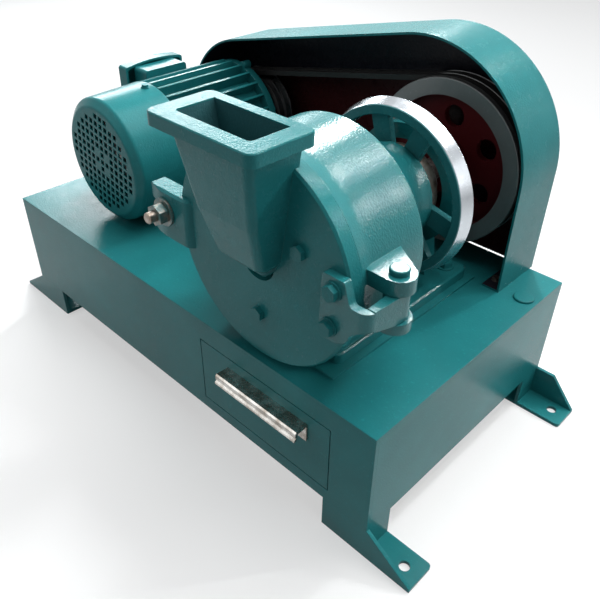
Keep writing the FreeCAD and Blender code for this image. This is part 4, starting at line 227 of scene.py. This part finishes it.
def two_finish(name, mask_of, inner, outer, lumps=0.0, peel=0.00014, edge=0.001):
    """One casting with two finishes, or with paint outside and painted shade inside. Each is (colour,
    roughness, metallic); mask 1 is outer.
    """
    m, tree, shader = new_material(name, outer[0], outer[1], metal=outer[2], gloss=GLOSS)
    mask = mask_of(tree)
    colors = [enamel_color(tree, finish[0]) for finish in (inner, outer)]
    tree.links.new(blend(tree, mask, *colors), shader.inputs["Base Color"])
    smear = noise(tree, 70.0, 3.0, 0.6)
    rough = blend(tree, mask, inner[1], outer[1])
    wander = span(tree, smear, -0.05, 0.05)
    tree.links.new(calc(tree, "ADD", rough, wander), shader.inputs["Roughness"])
    if inner[2] != outer[2]:
        tree.links.new(blend(tree, mask, inner[2], outer[2]), shader.inputs["Metallic"])
    bump(tree, shader, paint_relief(tree, peel, lumps), edge)
    return m


def metal(name, color, rough, spread=0.1, grain=0.00004, stretch=(1, 1, 1), stains=None, scale=300.0):
    """Bare metal with a grain. stains is a second colour in blotches."""
    m, tree, shader = new_material(name, color, rough, metal=1.0)
    fine = noise(tree, scale, 4.0, 0.6, stretch)
    tree.links.new(span(tree, fine, rough - spread, rough + spread), shader.inputs["Roughness"])
    if stains:
        blotch = noise(tree, 45.0, 5.0, 0.65)
        color_out = ramp(tree, blotch, [(0.4, color), (0.6, stains)])
    else:
        color_out = ramp(tree, fine, [(0.3, scaled(color, 0.86)), (0.7, scaled(color, 1.08))])
    tree.links.new(color_out, shader.inputs["Base Color"])
    bump(tree, shader, [(fine, grain, 0.6)], 0.0006)
    return m


def plain(name, color, rough, grain=0.00005, scale=500.0):
    """A plastic, rubber or primer with a fine grain and light dust."""
    m, tree, shader = new_material(name, color, rough)
    fine = noise(tree, scale, 3.0, 0.6)
    dust = noise(tree, 25.0, 4.0, 0.6)
    stops = [(0.35, color), (0.7, tuple(c * 1.3 + 0.004 for c in color))]
    tree.links.new(ramp(tree, dust, stops), shader.inputs["Base Color"])
    tree.links.new(span(tree, fine, rough - 0.08, rough + 0.08), shader.inputs["Roughness"])
    bump(tree, shader, [(fine, grain, 0.6)])
    return m


def worn_enamel(name):
    """Paint rubbed off fasteners that are turned by hand."""
    m, tree, shader = new_material(name, TEAL, 0.35)
    worn = span(tree, noise(tree, 130.0, 4.0, 0.65), 0.0, 1.0, 0.47, 0.60)
    paint = enamel_color(tree, (0.035, 0.12, 0.12))
    tree.links.new(blend(tree, worn, paint, (0.20, 0.19, 0.17)), shader.inputs["Base Color"])
    tree.links.new(calc(tree, "MULTIPLY", worn, 0.8), shader.inputs["Metallic"])
    tree.links.new(blend(tree, worn, 0.32, 0.42), shader.inputs["Roughness"])
    bump(tree, shader, [(worn, 0.00012, 0.6), (noise(tree, 420.0, 2.0, 0.5), 0.00008, 0.6)], 0.0007)
    return m


def wheel_mask(tree):
    """The hand wheel is polished outside its flat face."""
    return beyond(tree, radius_from(tree, SPINDLE_X, SPINDLE_Z), WHEEL_FACE_R)


def pulley_mask(tree):
    return beyond(tree, radius_from(tree, SPINDLE_X, SPINDLE_Z), PULLEY_WEB_R)


# Mask 1 on the guard wrap's outer faces; its inner faces get near-black painted shade.
def guard_painted_shade_mask(tree):
    return facing(tree, *GUARD_MIDDLE)


def back_plate_mask(tree):
    """Only the rear face of the guard's back plate is painted in the cabinet's colour."""
    geometry = tree.nodes.new("ShaderNodeNewGeometry")
    parts = tree.nodes.new("ShaderNodeSeparateXYZ")
    tree.links.new(geometry.outputs["Normal"], parts.inputs[0])
    return beyond(tree, parts.outputs["Y"], -0.5, 0.1)


def hopper_mask(tree):
    """0 inside the funnel and 1 outside it: the border runs through the middle of its walls."""
    rim_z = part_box("door_hopper")[1][2]
    px, py, pz = split(tree)
    off = calc(tree, "ABSOLUTE", calc(tree, "SUBTRACT", px, SPINDLE_X))
    half = span(tree, pz, FUNNEL_HALF_LOW, FUNNEL_HALF_HIGH, FUNNEL_LOW_Z, FUNNEL_HIGH_Z)
    front = span(tree, pz, FUNNEL_FRONT_LOW, FUNNEL_FRONT_HIGH, FUNNEL_LOW_Z, FUNNEL_HIGH_Z)
    inside_x = calc(tree, "LESS_THAN", off, half)
    inside_y = calc(tree, "GREATER_THAN", py, front)
    over_floor = calc(tree, "GREATER_THAN", pz, FUNNEL_FLOOR_Z)
    under_rim = calc(tree, "LESS_THAN", pz, rim_z - RIM_BORDER)
    before_door = calc(tree, "LESS_THAN", py, DOOR_BORDER_Y)
    both = calc(tree, "MULTIPLY", inside_x, inside_y)
    rest = calc(tree, "MULTIPLY", calc(tree, "MULTIPLY", over_floor, under_rim), before_door)
    return calc(tree, "SUBTRACT", 1.0, calc(tree, "MULTIPLY", both, rest))


def guard_back_paint_and_shade(name):
    """Enamel behind; inside, red primer with a near-black band of painted shade over the belts' upper run.
    """
    m, tree, shader = new_material(name, TEAL, 0.28, gloss=GLOSS)
    px, _, pz = split(tree)
    over_belts = calc(tree, "SUBTRACT", pz, calc(tree, "MULTIPLY", px, SHADE_BAND_SLOPE))
    # Painted shade: near-black above this sloping line, where the hood over the belts is in shade.
    shade_band = beyond(tree, over_belts, SHADE_BAND_Z, 0.002)
    inside = blend(tree, shade_band, (0.045, 0.008, 0.009), SHADE_BLACK)
    both = blend(tree, back_plate_mask(tree), inside, enamel_color(tree))
    tree.links.new(both, shader.inputs["Base Color"])
    tree.links.new(span(tree, noise(tree, 70.0, 3.0, 0.6), 0.22, 0.34), shader.inputs["Roughness"])
    bump(tree, shader, paint_relief(tree, 0.0003), 0.001)
    return m


MAT = {
    "sheet": enamel("enamel_sheet"),
    "cast": enamel("enamel_cast", lumps=0.0005, peel=0.00042, gloss=2.6 * GLOSS),
    "hopper": two_finish(
        "enamel_hopper", hopper_mask, ((0.034, 0.115, 0.125), 0.45, 0.0), (TEAL, 0.24, 0.0),
        lumps=0.0005, peel=0.0004,
    ),
    # Guard wrap: teal enamel outside, near-black painted shade on the inside faces.
    "guard": two_finish("enamel_guard_painted_shade_inside", guard_painted_shade_mask, (SHADE_BLACK, 0.4, 0.0), (TEAL, 0.24, 0.0), peel=0.0003),
    "guard_back": guard_back_paint_and_shade("guard_back_paint_and_shade"),
    "wheel": two_finish(
        "wheel_finish", wheel_mask, ((0.030, 0.150, 0.160), 0.26, 0.0), ((0.46, 0.49, 0.52), 0.2, 1.0),
        peel=0.00006,
    ),
    "pulley": two_finish(
        "pulley_finish", pulley_mask, (RED, 0.45, 0.0), ((0.21, 0.22, 0.22), 0.40, 0.5), lumps=0.0003
    ),
    "primer": plain("primer_inside", (0.022, 0.006, 0.007), 0.5, 0.00015, 160.0),
    "steel": metal("bare_steel", (0.5, 0.49, 0.47), 0.33),
    "dark_steel": metal("dark_steel", (0.16, 0.145, 0.13), 0.42, stains=(0.07, 0.05, 0.04)),
    "rusty": metal("rusty_steel", (0.33, 0.30, 0.27), 0.38, stains=(0.17, 0.135, 0.11), grain=0.0001),
    "worn": worn_enamel("worn_enamel"),
    "iron": metal("machined_iron", (0.16, 0.165, 0.17), 0.38, spread=0.08),
    "rubber": plain("belt_rubber", (0.012, 0.012, 0.012), 0.6),
    "aluminium": metal("worn_aluminium", (0.62, 0.61, 0.58), 0.24, spread=0.08, stains=(0.30, 0.27, 0.235)),
    "plastic": plain("black_plastic", (0.015, 0.015, 0.017), 0.45),
    "copper": plain("winding", (0.3, 0.1, 0.03), 0.4),
}
BY_NODE = {
    "mill_body": "cast", "door_hopper": "hopper", "hinge_arm": "cast", "motor_frame": "cast",
    "motor_drive_shield": "cast", "nut_retainer": "cast",
    "guard_wrap": "guard", "guard_back": "guard_back", "discharge_chute": "steel",
    "drawer_runners": "steel", "drawer_tray": "steel", "drawer_handle": "aluminium",
    "handle_screws": "steel", "quill_key_screw": "dark_steel",
    "motor_rear_shield": "iron", "motor_stator": "copper", "motor_bearings": "steel",
    "motor_bolts": "dark_steel", "cable_gland": "plastic", "guard_bolts": "dark_steel",
    "v_belts": "rubber", "fixed_disc": "iron", "swing_bolt": "rusty",
    "latch_nut": "worn", "latch_washer": "worn", "quill": "steel", "quill_caps": "steel",
    "bearing_outer_rings": "steel", "spindle": "steel", "pulley_key": "steel",
    "bearing_inner_rings": "steel", "rotor_head": "iron", "rotating_disc": "iron",
    "rotor_nut": "steel", "hand_wheel": "wheel", "adjusting_nut": "rusty",
    "mill_pulley": "pulley", "motor_rotor": "steel", "motor_fan": "plastic",
    "motor_pulley": "iron",
}
for name, node in nodes.items():
    chosen = MAT[BY_NODE.get(name, "sheet")]
    node.data.materials.clear()
    node.data.materials.append(chosen)


# ---- floor, light and camera ---------------------------------------------------------------
def seen_directly(tree):
    """1 for camera, glossy and transmission rays."""
    path = tree.nodes.new("ShaderNodeLightPath")
    kinds = [path.outputs["Is " + kind + " Ray"] for kind in ("Camera", "Glossy", "Transmission")]
    return calc(tree, "MAXIMUM", calc(tree, "MAXIMUM", kinds[0], kinds[1]), kinds[2])


def make_floor():
    bpy.ops.mesh.primitive_plane_add(size=30, location=(0, 0, -0.0005))
    floor = bpy.context.object
    floor.name = "floor"
    m, tree, shader = new_material("floor_paint", (0.42, 0.42, 0.42), 0.7)
    shader.inputs["Specular IOR Level"].default_value = 0.1
    dull = tree.nodes.new("ShaderNodeBsdfDiffuse")
    dull.inputs["Color"].default_value = (0.35, 0.35, 0.35, 1)
    white = tree.nodes.new("ShaderNodeEmission")
    white.inputs["Color"].default_value = (1, 1, 1, 1)
    white.inputs["Strength"].default_value = 0.5
    both = tree.nodes.new("ShaderNodeAddShader")
    switch = tree.nodes.new("ShaderNodeMixShader")
    out = tree.nodes["Material Output"]
    tree.links.new(shader.outputs[0], both.inputs[0])
    tree.links.new(white.outputs[0], both.inputs[1])
    tree.links.new(seen_directly(tree), switch.inputs["Fac"])
    tree.links.new(dull.outputs[0], switch.inputs[1])
    tree.links.new(both.outputs[0], switch.inputs[2])
    tree.links.new(switch.outputs[0], out.inputs["Surface"])
    floor.data.materials.append(m)


def make_world():
    world = bpy.data.worlds.new("studio")
    bpy.context.scene.world = world
    world.use_nodes = True
    tree = world.node_tree
    back = tree.nodes["Background"]
    back.inputs["Color"].default_value = (0.93, 0.97, 1.0, 1)
    back.inputs["Strength"].default_value = 0.2
    white = tree.nodes.new("ShaderNodeBackground")
    white.inputs["Color"].default_value = (1, 1, 1, 1)
    switch = tree.nodes.new("ShaderNodeMixShader")
    tree.links.new(seen_directly(tree), switch.inputs["Fac"])
    tree.links.new(back.outputs[0], switch.inputs[1])
    tree.links.new(white.outputs[0], switch.inputs[2])
    tree.links.new(switch.outputs[0], tree.nodes["World Output"].inputs["Surface"])


def area_light(name, at, aim, size, power, color=(1, 1, 1), beam=180):
    data = bpy.data.lights.new(name, "AREA")
    data.shape = "RECTANGLE"
    data.size, data.size_y = size
    data.energy = power
    data.spread = math.radians(beam)
    data.color = color
    lamp = bpy.data.objects.new(name, data)
    bpy.context.scene.collection.objects.link(lamp)
    lamp.location = at
    lamp.rotation_euler = (Vector(aim) - Vector(at)).to_track_quat("-Z", "Y").to_euler()


CAMERA_AT = (0.6527, -0.6096, 0.7366)
CAMERA_ANGLES = (43.747, 36.058, 0.8266)
LENS_MM, SENSOR_MM = 40.343, 36.0


def make_camera():
    """The photo's own camera. CAMERA_ANGLES are the turn about Z, the tilt down and the roll, in degrees."""
    azimuth, down, roll = (math.radians(angle) for angle in CAMERA_ANGLES)
    level = math.cos(down)
    ahead = Vector((-math.sin(azimuth) * level, math.cos(azimuth) * level, -math.sin(down)))
    right = Vector((math.cos(azimuth), math.sin(azimuth), 0.0))
    up = right.cross(ahead)
    right, up = right * math.cos(roll) + up * math.sin(roll), up * math.cos(roll) - right * math.sin(roll)
    data = bpy.data.cameras.new("camera")
    data.lens = LENS_MM
    data.sensor_width = SENSOR_MM
    camera = bpy.data.objects.new("camera", data)
    bpy.context.scene.collection.objects.link(camera)
    axes = Matrix((right, up, -ahead)).transposed().to_4x4()
    camera.matrix_world = Matrix.Translation(CAMERA_AT) @ axes
    bpy.context.scene.camera = camera


make_floor()
make_world()
area_light("overhead", (0.35, 0.55, 2.6), (0.15, 0.1, 0.3), (2.2, 2.0), 70, (1.0, 1.0, 1.0))
for name, at, width, power in (
    ("bank_left", (-1.07, 1.97, 2.11), 0.22, 7.5),
    ("bank_middle", (0.64, 1.97, 2.44), 0.12, 3),
    ("bank_right", (1.90, 1.97, 1.63), 0.11, 2.2),
):
    area_light(name, at, (0.19, -0.1, 0.34), (width, 0.8), power, (0.97, 1.0, 1.0), 55)
area_light("window", (-2.3, 1.3, 1.25), (-0.2, 0.1, 0.2), (1.3, 0.6), 34, (0.92, 0.98, 1.0))
area_light("right", (2.6, 0.4, 1.3), (0.2, 0.0, 0.2), (1.4, 1.2), 5, (1.0, 1.0, 1.0))
area_light("front", (-1.5, -2.5, 2.2), (0.0, 0.0, 0.2), (2.5, 2.0), 16, (1.0, 1.0, 1.0))
make_camera()
bpy.context.scene.view_settings.view_transform = "Standard"
